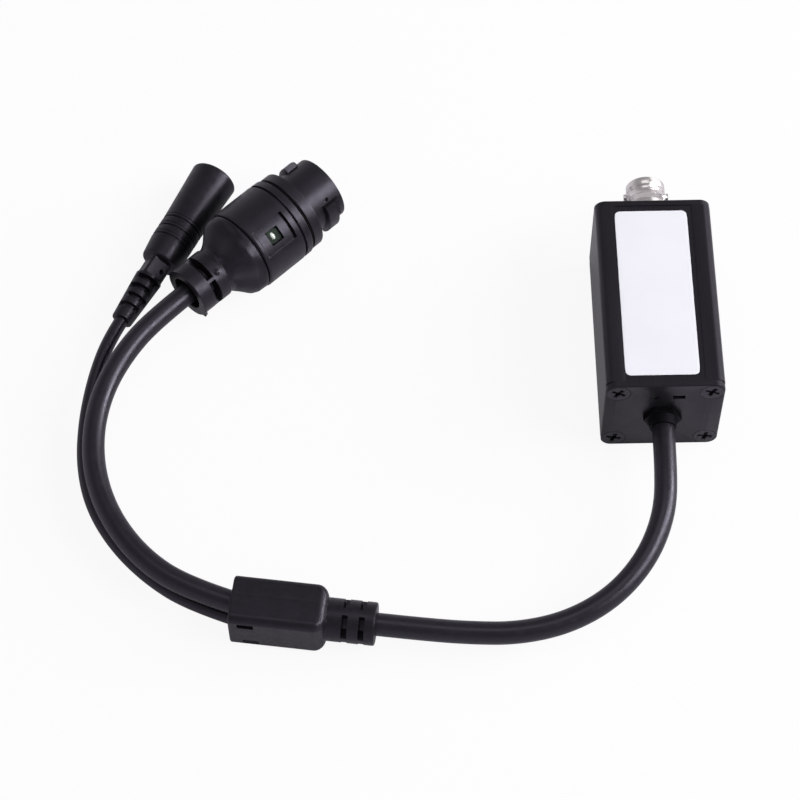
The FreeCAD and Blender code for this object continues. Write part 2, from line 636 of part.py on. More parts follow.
def wire_header():
    """The plug and socket where the cable's wires reach the board."""
    return chip("wire_header", "header_width", "header_depth", HEADER_TALL, 0, HEADER_PLACE, False)


def cable_cores():
    """Four insulated wires from the gland's inner end to the header's front."""
    gland_end = "(%s + plate_thickness + gland_tail)" % CABLE_FACE
    header_front = "(%s - header_depth / 2)" % share_y(HEADER_PLACE)
    return compound("cable_cores", [
        rod_y("cable_core_%d" % number, "core_radius", "%s - %s" % (header_front, gland_end),
              ("core_pitch * %.1f" % (number - (CORE_COUNT - 1) / 2), gland_end, AXIS_HEIGHT))
        for number in range(CORE_COUNT)])


SWITCH_WIDE = "6.0"
SWITCH_DEEP = "3.6"
SWITCH_TALL = "3.4"
PLUNGER_FOOT = "0.8"


def reset_switch():
    """The switch's frame on the board, with a chamber for the plunger's foot."""
    front = "%s + plate_thickness + 0.5" % CABLE_FACE
    frame = block("switch_frame", SWITCH_WIDE, SWITCH_DEEP, SWITCH_TALL,
                  ("slot_offset", "%s + %s / 2" % (front, SWITCH_DEEP), BOARD_TOP))
    chamber = block("switch_chamber", "slot_width + 1.0", "%s + 2 * reset_travel + 0.4" % PLUNGER_FOOT,
                    "slot_tall + 0.6",
                    ("slot_offset", "%s + 0.8 + (%s + 2 * reset_travel + 0.4) / 2" % (front, PLUNGER_FOOT),
                     "%s - slot_tall / 2 - 0.3" % SLOT_HEIGHT))
    window = block("switch_window", "slot_width", "2", "slot_tall",
                   ("slot_offset", "%s + 0.5" % front, "%s - slot_tall / 2" % SLOT_HEIGHT))
    return cut("reset_switch", frame, fuse("switch_hollow", chamber, window))


def reset_plunger():
    """The plunger: its stem reaches into the slot, its foot is kept in the switch."""
    front = "(%s + plate_thickness + 0.5)" % CABLE_FACE
    tip = "(%s + plunger_sink)" % CABLE_FACE
    stem_end = "(%s + 0.8 + 0.1)" % front
    stem = block("plunger_stem", "slot_width - 2 * plunger_clearance", "%s - %s" % (stem_end, tip),
                 "slot_tall - 2 * plunger_clearance",
                 ("slot_offset", "(%s + %s) / 2" % (tip, stem_end),
                  "%s - slot_tall / 2 + plunger_clearance" % SLOT_HEIGHT))
    foot = block("plunger_foot", "slot_width + 0.6", PLUNGER_FOOT, "slot_tall + 0.3",
                 ("slot_offset", "%s + %s / 2" % (stem_end, PLUNGER_FOOT),
                  "%s - slot_tall / 2 - 0.15" % SLOT_HEIGHT))
    return fuse("reset_plunger", stem, foot)


def status_light():
    """A side-looking light: its case on the board, its lens in the plate."""
    front = "%s + plate_thickness + 0.6" % CABLE_FACE
    case = block("light_case", "3.0", "2.2", "3.2",
                 ("light_offset", "%s + 1.1" % front, BOARD_TOP))
    lens = rod_y("light_lens", "light_radius", "1.8",
                 ("light_offset", "%s - 1.7" % front, SLOT_HEIGHT))
    return fuse("status_light", case, lens)


def cable_gland():
    """Hexagonal flange, tapered collar, neck through the plate and a snap lip inside."""
    flange = hex_prism("gland_hexagon", "gland_flats", "gland_flange", ("0", CABLE_FACE, AXIS_HEIGHT), -1)
    collar = primitive("Cone", "gland_collar_cone", axis=((1, 0, 0), 90), Radius1="gland_neck_radius + 0.1",
                       Radius2="cable_radius + 0.45", Height="gland_collar",
                       at=("0", "%s - gland_flange" % CABLE_FACE, AXIS_HEIGHT))
    neck = rod_y("gland_neck", "gland_neck_radius", "plate_thickness + gland_tail",
                 ("0", CABLE_FACE, AXIS_HEIGHT))
    lip = primitive("Cone", "gland_lip", axis=((1, 0, 0), -90), Radius1="gland_neck_radius + 0.6",
                    Radius2="gland_neck_radius", Height="gland_tail - 0.4",
                    at=("0", "%s + plate_thickness + 0.1" % CABLE_FACE, AXIS_HEIGHT))
    return fuse("cable_gland", flange, collar, neck, lip)


def on_jack_axis(body):
    """Place a piece of the coaxial jack: its X axis runs out of the plate's face."""
    return set_along(body, "0", COAX_FACE, AXIS_HEIGHT, "90")


def coax_shell():
    """The jack's shell: nose, waist, foot, thread, flange, block, lugs and legs."""
    body = new_body("coax_shell_turning")
    rim = "jack_reach"
    turned(body, "Revolution", "shell_turning", [
        ("-plate_thickness - jack_flange_thickness", "insulator_radius + fit_clearance"),
        ("-plate_thickness - jack_flange_thickness", "jack_flange_radius"),
        ("-plate_thickness", "jack_flange_radius"),
        ("-plate_thickness", "jack_thread_radius"),
        (rim + " - jack_foot_place - jack_foot_length", "jack_thread_radius"),
        (rim + " - jack_foot_place - jack_foot_length", "jack_base_radius"),
        (rim + " - jack_foot_place", "jack_base_radius"),
        (rim + " - jack_foot_place + 0.4", "jack_barrel_radius"),
        (rim + " - jack_waist_back - 0.5", "jack_barrel_radius"),
        (rim + " - jack_waist_back", "jack_waist_radius"),
        (rim + " - jack_waist_front", "jack_waist_radius"),
        (rim + " - jack_waist_front + 0.6", "jack_barrel_radius"),
        (rim + " - 0.35", "jack_barrel_radius"),
        (rim, "jack_barrel_radius - 0.35"),
        (rim, "jack_bore + 0.1"),
        (rim + " - 0.1", "jack_bore"),
        (rim + " - jack_mouth_depth", "jack_bore"),
        (rim + " - jack_mouth_depth", "insulator_radius + fit_clearance")])
    on_jack_axis(body)
    lugs = rod_x("shell_lugs", "jack_lug_radius", "jack_lug_span",
                 ("-jack_lug_span / 2", "%s + jack_reach - jack_lug_place" % COAX_FACE, AXIS_HEIGHT))
    bore = rod_y("lug_clearance", "jack_bore", "4",
                 ("0", "%s + jack_reach - jack_lug_place - 2" % COAX_FACE, AXIS_HEIGHT))
    behind = "%s - plate_thickness - jack_flange_thickness" % COAX_FACE
    slab = block("shell_block", "jack_block_width", "jack_block_length",
                 "2 * (%s - %s)" % (BOARD_UNDER, AXIS_HEIGHT),
                 ("0", "%s - jack_block_length / 2" % behind, "2 * %s - %s" % (AXIS_HEIGHT, BOARD_UNDER)))
    hollow = rod_y("block_bore", "insulator_radius + fit_clearance", "jack_block_length + 2",
                   ("0", "%s - jack_block_length - 1" % behind, AXIS_HEIGHT))
    legs = [upright("shell_leg_%d" % number, LEG_RADIUS, "board_thickness + 1.2",
                    (str(x), leg_y(y), "%s - 0.4" % BOARD_UNDER))
            for number, (x, y) in enumerate(JACK_LEG_PLACES)]
    solid = fuse("coax_shell", body, cut("lug_pair", lugs, bore),
                 cut("block_hollow", slab, hollow), *legs)
    return solid


def rod_x(name, radius, length, at):
    """A cylinder along +X from its end at the given place."""
    return primitive("Cylinder", name, axis=((0, 1, 0), 90), Radius=radius, Height=length, at=at)


def coax_insulator():
    """The insulator: a plug in the shell and a thin nose in the mouth."""
    body = new_body("coax_insulator")
    rim = "jack_reach"
    turned(body, "Revolution", "insulator_turning", [
        ("-plate_thickness - jack_flange_thickness - jack_block_length", "tail_radius + fit_clearance"),
        ("-plate_thickness - jack_flange_thickness - jack_block_length", "insulator_radius"),
        (rim + " - jack_mouth_depth", "insulator_radius"),
        (rim + " - jack_mouth_depth", "insulator_nose_radius"),
        (rim + " - 2.2", "insulator_nose_radius"),
        (rim + " - 2.0", "insulator_nose_radius - 0.2"),
        (rim + " - 2.0", "contact_radius + fit_clearance"),
        ("2.0", "contact_radius + fit_clearance"),
        ("2.0", "tail_radius + fit_clearance")])
    return on_jack_axis(body)


def coax_contact():
    """The centre contact: a bored socket in front, a bent tail behind."""
    body = new_body("contact_turning")
    rim = "jack_reach"
    turned(body, "Revolution", "contact_socket", [
        ("-%s" % TAIL_DROP, "0"),
        ("-%s" % TAIL_DROP, "tail_radius"),
        ("2.0 + fit_clearance", "tail_radius"),
        ("2.0 + fit_clearance", "contact_radius"),
        (rim + " - 2.3", "contact_radius"),
        (rim + " - 2.1", "contact_radius - 0.2"),
        (rim + " - 2.1", "contact_bore"),
        (rim + " - 8.0", "contact_bore"),
        (rim + " - 8.4", "0")])
    on_jack_axis(body)
    tail = upright("contact_tail", "tail_radius", "%s + 0.8 - %s" % (BOARD_TOP, AXIS_HEIGHT),
                   ("0", "%s - %s" % (COAX_FACE, TAIL_DROP), AXIS_HEIGHT))
    return fuse("coax_contact", body, tail)


def coax_nut():
    """The hexagonal nut outside the plate, with the lock washer under it."""
    start = "%s + jack_washer_thickness" % COAX_FACE
    hexagon = hex_prism("nut_hexagon", "jack_nut_flats", "jack_nut_thickness",
                        ("0", start, AXIS_HEIGHT), 1)
    crown = primitive("Cone", "nut_crown", axis=((1, 0, 0), -90), Radius1="jack_nut_flats / 2 + 1.9",
                      Radius2="jack_nut_flats / 2 - 0.5", Height="jack_nut_thickness",
                      at=("0", start, AXIS_HEIGHT))
    shaped = doc.addObject("Part::Common", "nut_shape")
    shaped.Base = hexagon
    shaped.Tool = crown
    hole = rod_y("nut_hole", "jack_thread_radius + gland_clearance", "jack_nut_thickness + 2",
                 ("0", "%s - 1" % start, AXIS_HEIGHT))
    return cut("coax_nut", shaped, hole)


def coax_washer():
    disc = rod_y("washer_disc", "jack_nut_flats / 2 - 0.2", "jack_washer_thickness",
                 ("0", COAX_FACE, AXIS_HEIGHT))
    hole = rod_y("washer_hole", "jack_thread_radius + gland_clearance", "jack_washer_thickness + 2",
                 ("0", "%s - 1" % COAX_FACE, AXIS_HEIGHT))
    return cut("coax_washer", disc, hole)


def slot_ring(body, name, start, width, core, outer, turn, cover="relief_spine"):
    """Two facing slots of a strain relief, with a spine left between their ends."""
    for side in (0, 180):
        turned(body, "Groove", "%s_%d" % (name, side), [
            (start, core), (start, outer),
            ("(%s) + (%s)" % (start, width), outer), ("(%s) + (%s)" % (start, width), core)],
               turn="%s + %d" % (turn, side + 0.001), angle=cover)


def splitter():
    """The moulded splitter: a block with a round-ended relief and two tail sockets."""
    body = new_body("splitter_block")
    plan = sketch_on(body, "XY_Plane", "splitter_plan", lift="-splitter_height / 2")
    outline(plan, [
        ("0", "-splitter_width / 2"),
        ("splitter_length - splitter_round", "-splitter_width / 2", "splitter_round", 1),
        ("splitter_length", "splitter_round - splitter_width / 2"),
        ("splitter_length", "splitter_width / 2 - splitter_round", "splitter_round", 1),
        ("splitter_length - splitter_round", "splitter_width / 2"),
        ("0", "splitter_width / 2")])
    feature(body, "Pad", "splitter_pad", plan, Length="splitter_height")
    doc.recompute()
    edges = ["Edge%d" % (number + 1) for number, edge in enumerate(body.Shape.Edges)
             if is_long_edge(edge)]
    dress(body, "Fillet", "splitter_rounding", edges, Radius="splitter_edge")
    turned(body, "Revolution", "relief_turning", [
        ("splitter_length - 1", "0"),
        ("splitter_length - 1", "relief_radius"),
        ("splitter_length + relief_length - 0.5", "relief_radius"),
        ("splitter_length + relief_length", "relief_radius - 0.5"),
        ("splitter_length + relief_length", "0")])
    for number in range(2):
        slot_ring(body, "relief_slot_%d" % number,
                  "splitter_length + relief_slot_start + %d * relief_slot_pitch" % number,
                  "relief_slot", "relief_core", "relief_radius + 0.5", "0")
    marks = sketch_on(body, "XZ_Plane", "splitter_marks", lift="splitter_width / 2")
    for share, level in ((0.18, 0.29), (0.225, -0.34)):
        rectangle(marks, "%.3f * splitter_length" % share, "%.2f * splitter_height" % level,
                  "splitter_mark_length", "splitter_mark_height")
    feature(body, "Pocket", "splitter_mark_cut", marks, Length="2 * splitter_mark_depth", Midplane=True)
    sockets = sketch_on(body, "YZ_Plane", "tail_sockets")
    circle(sockets, "network_exit_side", "network_exit_height - splitter_height / 2",
           "cable_radius + tail_clearance")
    feature(body, "Pocket", "network_socket_hole", sockets, Length="2 * tail_socket", Midplane=True)
    lower = sketch_on(body, "YZ_Plane", "power_socket_sketch")
    circle(lower, "power_exit_side", "power_exit_height - splitter_height / 2",
           "power_cable_radius + tail_clearance")
    feature(body, "Pocket", "power_socket_hole", lower, Length="2 * tail_socket", Midplane=True)
    body.Label = "splitter"
    return set_along(body, "splitter_x", "splitter_y", "splitter_height / 2", "splitter_turn")


def is_long_edge(edge):
    """The four edges that run along the splitter's sides."""
    if len(edge.Vertexes) != 2:
        return False
    start, end = (vertex.Point for vertex in edge.Vertexes)
    return abs(start.y - end.y) < 1e-6 and abs(start.z - end.z) < 1e-6 and abs(start.x - end.x) > 5


def on_network_axis(body):
    return set_along(body, "network_x", "network_y", "network_body_radius", "network_turn")


def on_power_axis(body):
    return set_along(body, "power_x", "power_y", "power_tip_radius", "power_turn")


INSERT_BACK = "30.0"
PLUG_RADIUS = "(network_bore + 1.5)"


def network_shell():
    """Body, two ring grooves, flange, barrel and bayonet lugs, with the window's flat."""
    body = new_body("network_shell")
    front = "network_flange_front"
    turned(body, "Revolution", "shell_profile", [
        ("network_seam", "%s" % PLUG_RADIUS),
        ("network_seam", "network_body_radius - 0.25"),
        ("network_seam + 0.25", "network_body_radius"),
        (front + " - network_groove_place - network_groove_width", "network_body_radius"),
        (front + " - network_groove_place - network_groove_width",
         "network_body_radius - network_groove_width"),
        (front + " - network_groove_place", "network_body_radius - network_groove_width"),
        (front + " - network_groove_place", "network_body_radius - 0.05"),
        (front + " - seal_place", "network_body_radius - 0.1"),
        (front + " - seal_place", "network_flange_radius - 2 * seal_radius"),
        (front + " - seal_place + 2 * seal_radius", "network_flange_radius - 2 * seal_radius"),
        (front + " - seal_place + 2 * seal_radius", "network_flange_radius"),
        (front + " - 0.5", "network_flange_radius", "0.5", -1),
        (front, "network_flange_radius - 0.5"),
        (front, "network_barrel_radius"),
        ("network_length - 0.3", "network_barrel_radius"),
        ("network_length", "network_barrel_radius - 0.3"),
        ("network_length", "network_bore"),
        (INSERT_BACK, "network_bore"),
        (INSERT_BACK, PLUG_RADIUS)])
    for side in (0, 180):
        turned(body, "Revolution", "bayonet_lug_%d" % side, [
            ("network_lug_start", "network_bore + 0.3"),
            ("network_lug_start", "network_lug_radius - 0.4"),
            ("network_lug_start + 0.4", "network_lug_radius"),
            ("network_lug_start + network_lug_length - 0.4", "network_lug_radius"),
            ("network_lug_start + network_lug_length", "network_lug_radius - 0.4"),
            ("network_lug_start + network_lug_length", "network_bore + 0.3")],
               turn="%s" % (6 + side), angle="network_lug_angle")
    flat = sketch_on(body, "XY_Plane", "window_flat_sketch", turn="window_turn", lift="window_flat")
    rounded(flat, WINDOW_PLACE, "0", "8.6", "7.0", "0.6")
    feature(body, "Pocket", "window_flat_cut", flat, Length="2", Reversed=True)
    seat = sketch_on(body, "XY_Plane", "window_seat_sketch", turn="window_turn", lift="window_flat")
    rectangle(seat, WINDOW_PLACE, "0", "window_size + 2 * fit_clearance", "window_size + 2 * fit_clearance")
    feature(body, "Pocket", "window_seat", seat, Length="0.8")
    return on_network_axis(body)


WINDOW_PLACE = "(network_seam + 5.5)"


def network_window():
    """The clear window over the socket's light."""
    body = new_body("network_window")
    seat = sketch_on(body, "XY_Plane", "window_sketch", turn="window_turn", lift="window_flat - 0.75")
    rectangle(seat, WINDOW_PLACE, "0", "window_size", "window_size")
    feature(body, "Pad", "window_pad", seat, Length="0.9")
    return on_network_axis(body)


def network_seal():
    """The seal ring in the groove behind the flange."""
    body = new_body("network_seal")
    start = "network_flange_front - seal_place"
    inner = "(network_flange_radius - 2 * seal_radius + 0.01)"
    turned(body, "Revolution", "seal_turning", [
        (start + " + 0.01", inner),
        (start + " + 0.01", inner + " + 1.2 * seal_radius"),
        (start + " + 0.6 * seal_radius", inner + " + 2 * seal_radius"),
        (start + " + 1.4 * seal_radius", inner + " + 2 * seal_radius"),
        (start + " + 2 * seal_radius - 0.01", inner + " + 1.2 * seal_radius"),
        (start + " + 2 * seal_radius - 0.01", inner)])
    return on_network_axis(body)


def network_boot():
    """The soft boot: slotted relief, neck, round shoulder and the plug inside the body."""
    body = new_body("network_boot")
    relief = "network_relief_radius"
    shoulder = "network_body_radius - 0.25"
    turned(body, "Revolution", "boot_profile", [
        ("network_relief_depth", "0"),
        ("network_relief_depth", "network_relief_bore"),
        ("0", "network_relief_bore"),
        ("0", relief + " - 0.3"),
        ("0.3", relief),
        ("boot_neck_start - 0.2", relief),
        ("boot_neck_start", relief + " - boot_neck_depth"),
        ("boot_neck_end", relief + " - boot_neck_depth"),
        ("boot_neck_end + 0.2", relief + " - 0.1", "5.0", 1),
        ("boot_neck_end + 3.0", relief + " + 1.8"),
        ("boot_shoulder_start - 2.4", shoulder + " - 1.0", "3.0", -1),
        ("boot_shoulder_start", shoulder),
        ("network_seam - 0.4", shoulder),
        ("network_seam - 0.4", shoulder + " - 0.45"),
        ("network_seam", shoulder + " - 0.45"),
        ("network_seam", PLUG_RADIUS + " - fit_clearance"),
        (INSERT_BACK, PLUG_RADIUS + " - fit_clearance"),
        (INSERT_BACK, "0")])
    for quarter in (0, 90):
        slot_ring(body, "boot_slot_%d" % quarter, "boot_slot_start", "boot_slot_width",
                  "network_relief_bore + 0.6",
                  relief + " + 0.5", "%d + boot_slot_turn" % quarter, "boot_slot_cover")
    return on_network_axis(body)


def network_insert():
    """The modular jack: a round insert with the port, its latch way and a solid back."""
    body = new_body("network_insert")
    turned(body, "Revolution", "insert_turning", [
        (INSERT_BACK + " + fit_clearance", "0"),
        ("network_length - 0.2", "0"),
        ("network_length - 0.2", "network_bore - fit_clearance"),
        (INSERT_BACK + " + fit_clearance", "network_bore - fit_clearance")])
    front = "network_length"
    floor = "(port_lift - port_height / 2)"
    port = sketch_on(body, "YZ_Plane", "port_sketch", lift=front)
    outline(port, [
        ("-port_width / 2", floor),
        ("-latch_wide / 2", floor),
        ("-latch_wide / 2", floor + " - latch_step"),
        ("-latch_narrow / 2", floor + " - latch_step"),
        ("-latch_narrow / 2", floor + " - latch_depth"),
        ("latch_narrow / 2", floor + " - latch_depth"),
        ("latch_narrow / 2", floor + " - latch_step"),
        ("latch_wide / 2", floor + " - latch_step"),
        ("latch_wide / 2", floor),
        ("port_width / 2", floor),
        ("port_width / 2", floor + " + port_height"),
        ("-port_width / 2", floor + " + port_height")])
    feature(body, "Pocket", "port_cut", port, Length="port_depth")
    return on_network_axis(body)


CONTACT_COUNT = 8


def network_contacts():
    """Eight spring contacts that slope down from the port's roof."""
    roof = "(port_lift + port_height / 2)"
    wire = doc.addObject("Sketcher::SketchObject", "contact_side")
    wire.Placement.Rotation = FreeCAD.Rotation(FreeCAD.Vector(1, 0, 0), 90)
    mouth = "(network_length - 1.6)"
    outline(wire, [
        (mouth, roof + " - 0.1"),
        (mouth, roof + " - 0.45"),
        (mouth + " - 8.0", roof + " - 3.4"),
        (mouth + " - 8.2", roof + " - 3.1"),
        (mouth + " - 0.9", roof + " - 0.1")])
    wires = []
    for number in range(CONTACT_COUNT):
        piece = doc.addObject("Part::Extrusion", "contact_wire_%d" % number)
        piece.Base = wire
        piece.DirMode = "Custom"
        piece.Dir = FreeCAD.Vector(0, -1, 0)
        piece.LengthFwd = 0.35
        piece.Solid = True
        holder = compound("contact_place_%d" % number, [piece])
        tie(holder, **{"Placement.Base.y": "port_pitch * %.1f + 0.175" % (number - (CONTACT_COUNT - 1) / 2)})
        wires.append(holder)
    return on_network_axis(compound("network_contacts", wires))


NECK_MIDDLE = "power_neck_start + power_neck_length / 2"


def power_overmould():
    """The power jack's moulding: barrel, three rings, collar, flat neck, slotted relief."""
    body = new_body("power_overmould")
    ring = "power_ring_radius"
    tip = "power_length"
    rings = []
    for number in range(3):
        start = "power_ring_start + %d * power_ring_pitch" % number
        end = start + " + power_ring_groove"
        groove = ring + " - power_ring_depth"
        rings += [(start, ring), (start, groove), (end, groove), (end, ring)]
    turned(body, "Revolution", "overmould_profile", ([
        ("0", "0"),
        ("0", "power_relief_radius - 0.3"),
        ("0.3", "power_relief_radius"),
        ("17.6", "power_neck_radius"),
        ("18.6", "power_neck_radius"),
        ("18.9", "power_collar_radius - 0.3"),
        ("19.3", "power_collar_radius")] + rings + [
        (tip + " - 0.5", "power_tip_radius", "0.5", -1),
        (tip, "power_tip_radius - 0.5"),
        (tip, "power_insert_radius + fit_clearance"),
        (tip + " - 13.8", "power_insert_radius + fit_clearance"),
        (tip + " - 13.8", "0")]))
    for side in range(4):
        flat = sketch_on(body, "XY_Plane", "neck_flat_%d" % side,
                         turn="power_neck_turn + %d" % (90 * side), lift="power_neck_flat")
        rectangle(flat, NECK_MIDDLE, "0", "power_neck_length", "9")
        feature(body, "Pocket", "neck_flat_cut_%d" % side, flat, Length="3", Reversed=True)
    hole = sketch_on(body, "XY_Plane", "neck_hole_sketch", turn="power_neck_turn", lift="power_neck_flat")
    circle(hole, NECK_MIDDLE + " - 0.2", "0", "power_neck_hole")
    feature(body, "Pocket", "neck_hole", hole, Length="0.8")
    for number in range(4):
        slot_ring(body, "power_slot_%d" % number,
                  "power_slot_start + %d * power_slot_pitch" % number, "power_slot_width",
                  "power_cable_radius + 0.3", "power_neck_radius + 0.5",
                  "power_slot_turn + power_slot_shift * %d" % (number % 2), "power_slot_cover")
    return on_power_axis(body)


def power_insert():
    """The power jack's insert with its bore and a groove for the spring contact."""
    body = new_body("power_insert")
    tip = "power_length"
    bottom = tip + " - 0.4 - power_bore_depth"
    turned(body, "Revolution", "power_insert_turning", [
        (tip + " - 13.7", "power_root_radius + fit_clearance"),
        (bottom, "power_root_radius + fit_clearance"),
        (bottom, "power_bore"),
        (tip + " - 0.9", "power_bore"),
        (tip + " - 0.4", "power_bore + 0.5"),
        (tip + " - 0.4", "power_insert_radius"),
        (tip + " - 13.7", "power_insert_radius")])
    groove = sketch_on(body, "XY_Plane", "spring_groove", lift="power_bore - 0.3")
    rectangle(groove, tip + " - 0.4 - power_bore_depth / 2 - 0.7", "0", "power_bore_depth - 1.4", "2.0")
    feature(body, "Pocket", "spring_groove_cut", groove, Length="1.0", Reversed=True)
    return on_power_axis(body)


def power_pin():
    """The centre pin, a little behind the mouth."""
    body = new_body("power_pin")
    tip = "power_length"
    turned(body, "Revolution", "pin_turning", [
        (tip + " - 13.7", "0"),
        (tip + " - 1.2", "0"),
        (tip + " - 1.2", "power_pin_radius - 0.3"),
        (tip + " - 1.5", "power_pin_radius"),
        (tip + " - 0.3 - power_bore_depth", "power_pin_radius"),
        (tip + " - 0.3 - power_bore_depth", "power_root_radius"),
        (tip + " - 13.7", "power_root_radius")])
    return on_power_axis(body)


def power_spring():
    """The outer contact: a leaf in its groove of the bore."""
    body = new_body("power_spring")
    tip = "power_length"
    leaf = sketch_on(body, "XY_Plane", "leaf_sketch", lift="power_bore + 0.2")
    rectangle(leaf, tip + " - 0.4 - power_bore_depth / 2 - 0.7", "0",
              "power_bore_depth - 1.4 - 2 * fit_clearance", "2.0 - 2 * fit_clearance")
    feature(body, "Pad", "leaf_pad", leaf, Length="0.45")
    return on_power_axis(body)


def tube(points, radius):
    """A round cord: straight runs joined by arcs as large as the runs allow."""
    corners = [FreeCAD.Vector(*point) for point in points]
    edges = []
    here = corners[0]
    for before, corner, after in zip(corners, corners[1:], corners[2:]):
        back, ahead = before - corner, after - corner
        turn = math.pi - back.getAngle(ahead)
        reach = 0.45 * min(back.Length, ahead.Length)
        bend = reach / math.tan(turn / 2)
        start, end = corner + back.normalize() * reach, corner + ahead.normalize() * reach
        towards = (start + end) / 2 - corner
        middle = corner + towards.normalize() * (bend / math.cos(turn / 2) - bend)
        edges += [Part.LineSegment(here, start).toShape(), Part.Arc(start, middle, end).toShape()]
        here = end
    edges.append(Part.LineSegment(here, corners[-1]).toShape())
    path = Part.Wire(edges)
    first = corners[1] - corners[0]
    section = Part.Wire(Part.Circle(corners[0], first, radius).toShape())
    solid = path.makePipeShell([section], True, False)
    expected = math.pi * radius ** 2 * path.Length
    if abs(solid.Volume / expected - 1) > 0.01:
        raise ValueError("a tube's volume differs from its section times its length")
    print("tube radius %.2f length %.1f" % (radius, path.Length))
    return solid


def cord(name, points, radius):
    """A cord's solid in a node of its own."""
    result = doc.addObject("Part::Feature", name)
    result.Shape = tube(points, radius)
    return result


def along(x, y, turn, distance, sideways=0.0):
    """A place on a piece's axis, as plain plan coordinates."""
    angle = math.radians(value(turn))
    return (value(x) + math.cos(angle) * distance - math.sin(angle) * sideways,
            value(y) + math.sin(angle) * distance + math.cos(angle) * sideways)


SOCKET_START = 0.6

MAIN_ROUTE = [
    (0.0, -46.5, 13.5), (-1.1, -57.4, 12.4), (-5.7, -67.8, 10.4), (-13.8, -76.5, 8.4),
    (-24.4, -82.0, 6.9), (-36.0, -84.2, 6.2), (-47.3, -83.8, 6.1), (-58.23, -82.79, 6.45)]
NETWORK_ROUTE = [
    (-112.6, -72.0, 8.5), (-122.6, -64.7, 8.6), (-130.1, -54.7, 8.8), (-134.6, -43.3, 9.0),
    (-136.0, -31.4, 9.3), (-134.1, -19.5, 9.7), (-129.2, -9.2, 10.3), (-122.0, -0.3, 11.0)]
POWER_ROUTE = [
    (-112.0, -73.8, 3.6), (-122.0, -66.5, 3.1), (-130.3, -57.3, 2.8), (-136.0, -46.9, 2.7),
    (-138.7, -35.6, 2.8), (-138.8, -24.2, 3.4), (-136.9, -13.2, 4.7), (-133.5, -3.15, 6.0)]


def cords():
    """The three cords, from the gland and the splitter to what they end in."""
    gland_mouth = (0.0, value("%s - gland_flange - gland_collar" % CABLE_FACE), value(AXIS_HEIGHT))
    relief_end = along("splitter_x", "splitter_y", "splitter_turn",
                       value("splitter_length + relief_length")) + (value("splitter_height / 2"),)
    network_start = along("splitter_x", "splitter_y", "splitter_turn", SOCKET_START,
                          value("network_exit_side")) + (value("network_exit_height"),)
    power_start = along("splitter_x", "splitter_y", "splitter_turn", SOCKET_START,
                        value("power_exit_side")) + (value("power_exit_height"),)
    network_end = along("network_x", "network_y", "network_turn",
                        value("network_relief_depth")) + (value("network_body_radius"),)
    power_end = along("power_x", "power_y", "power_turn", 0.0) + (value("power_tip_radius"),)
    return [cord("main_cable", [gland_mouth] + MAIN_ROUTE + [relief_end], value("cable_radius")),
            cord("network_cable", [network_start] + NETWORK_ROUTE + [network_end], value("cable_radius")),
            cord("power_cable", [power_start] + POWER_ROUTE + [power_end], value("power_cable_radius"))]


CABLE_SCREW_TURNS = [15, 30, 10, 23]
COAX_SCREW_TURNS = [5, 40, 20, 62]


def build():
    """Every sub-part, in the order in which the converter goes together."""
    parts = [housing_sleeve(), cable_end_plate(), coax_end_plate(),
             screw_set("cable_end_screws", CABLE_FACE, -1, CABLE_SCREW_TURNS),
             screw_set("coax_end_screws", COAX_FACE, 1, COAX_SCREW_TURNS),
             rating_label(), circuit_board()]
    parts += board_parts()
    parts += [wire_header(), cable_cores(), reset_switch(), reset_plunger(), status_light(),
              cable_gland(), coax_shell(), coax_insulator(), coax_contact(), coax_nut(),
              coax_washer(), splitter(), network_shell(), network_window(), network_seal(),
              network_boot(), network_insert(), network_contacts(), power_overmould(),
              power_insert(), power_pin(), power_spring()]
    parts += cords()
    return parts


def check_and_write(parts):
    """Stop on any failed object or bad shape, then write one STEP file for each sub-part."""
    doc.recompute()
    failed = [item.Name for item in doc.Objects
              if "Invalid" in item.State or "Error" in item.State]
    if failed:
        raise RuntimeError("failed objects: " + ", ".join(failed))
    for part in parts:
        shape = part.Shape
        print(part.Label, "solids", len(shape.Solids), "volume %.1f" % shape.Volume,
              "x %.1f %.1f y %.1f %.1f z %.1f %.1f"
              % (shape.BoundBox.XMin, shape.BoundBox.XMax, shape.BoundBox.YMin, shape.BoundBox.YMax,
                 shape.BoundBox.ZMin, shape.BoundBox.ZMax))
        if shape.isNull() or not shape.isValid() or not shape.Solids:
            raise RuntimeError("bad shape: " + part.Label)
    os.makedirs("parts", exist_ok=True)
    for part in parts:
        part.Shape.exportStep("parts/%s.step" % part.Label)
    print("wrote %d parts" % len(parts))


check_and_write(build())
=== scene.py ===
"""Looks of a video signal converter: its finishes, cords, mouldings, jacks, label and studio.

All lengths in this file are in millimetres until a mesh or a property takes them in metres.
"""
import math

import bmesh
import bpy
import numpy as np
from mathutils import Matrix, Vector


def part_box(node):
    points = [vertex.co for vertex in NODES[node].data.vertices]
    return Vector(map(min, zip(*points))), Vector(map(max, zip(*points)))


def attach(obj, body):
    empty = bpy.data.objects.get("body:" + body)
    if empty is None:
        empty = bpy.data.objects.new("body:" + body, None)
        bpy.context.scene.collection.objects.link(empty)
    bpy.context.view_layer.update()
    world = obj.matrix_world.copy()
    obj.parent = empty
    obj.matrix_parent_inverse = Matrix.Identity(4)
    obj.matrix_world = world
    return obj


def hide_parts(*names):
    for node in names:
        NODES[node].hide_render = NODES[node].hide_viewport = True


bl_info = {
    "name": "Video signal converter",
    "version": (1, 0, 0),
    "blender": (4, 5, 0),
    "location": "3D View > Sidebar > Converter",
    "description": "Finishes, cords and mouldings for a small coaxial video converter",
    "category": "Object",
}

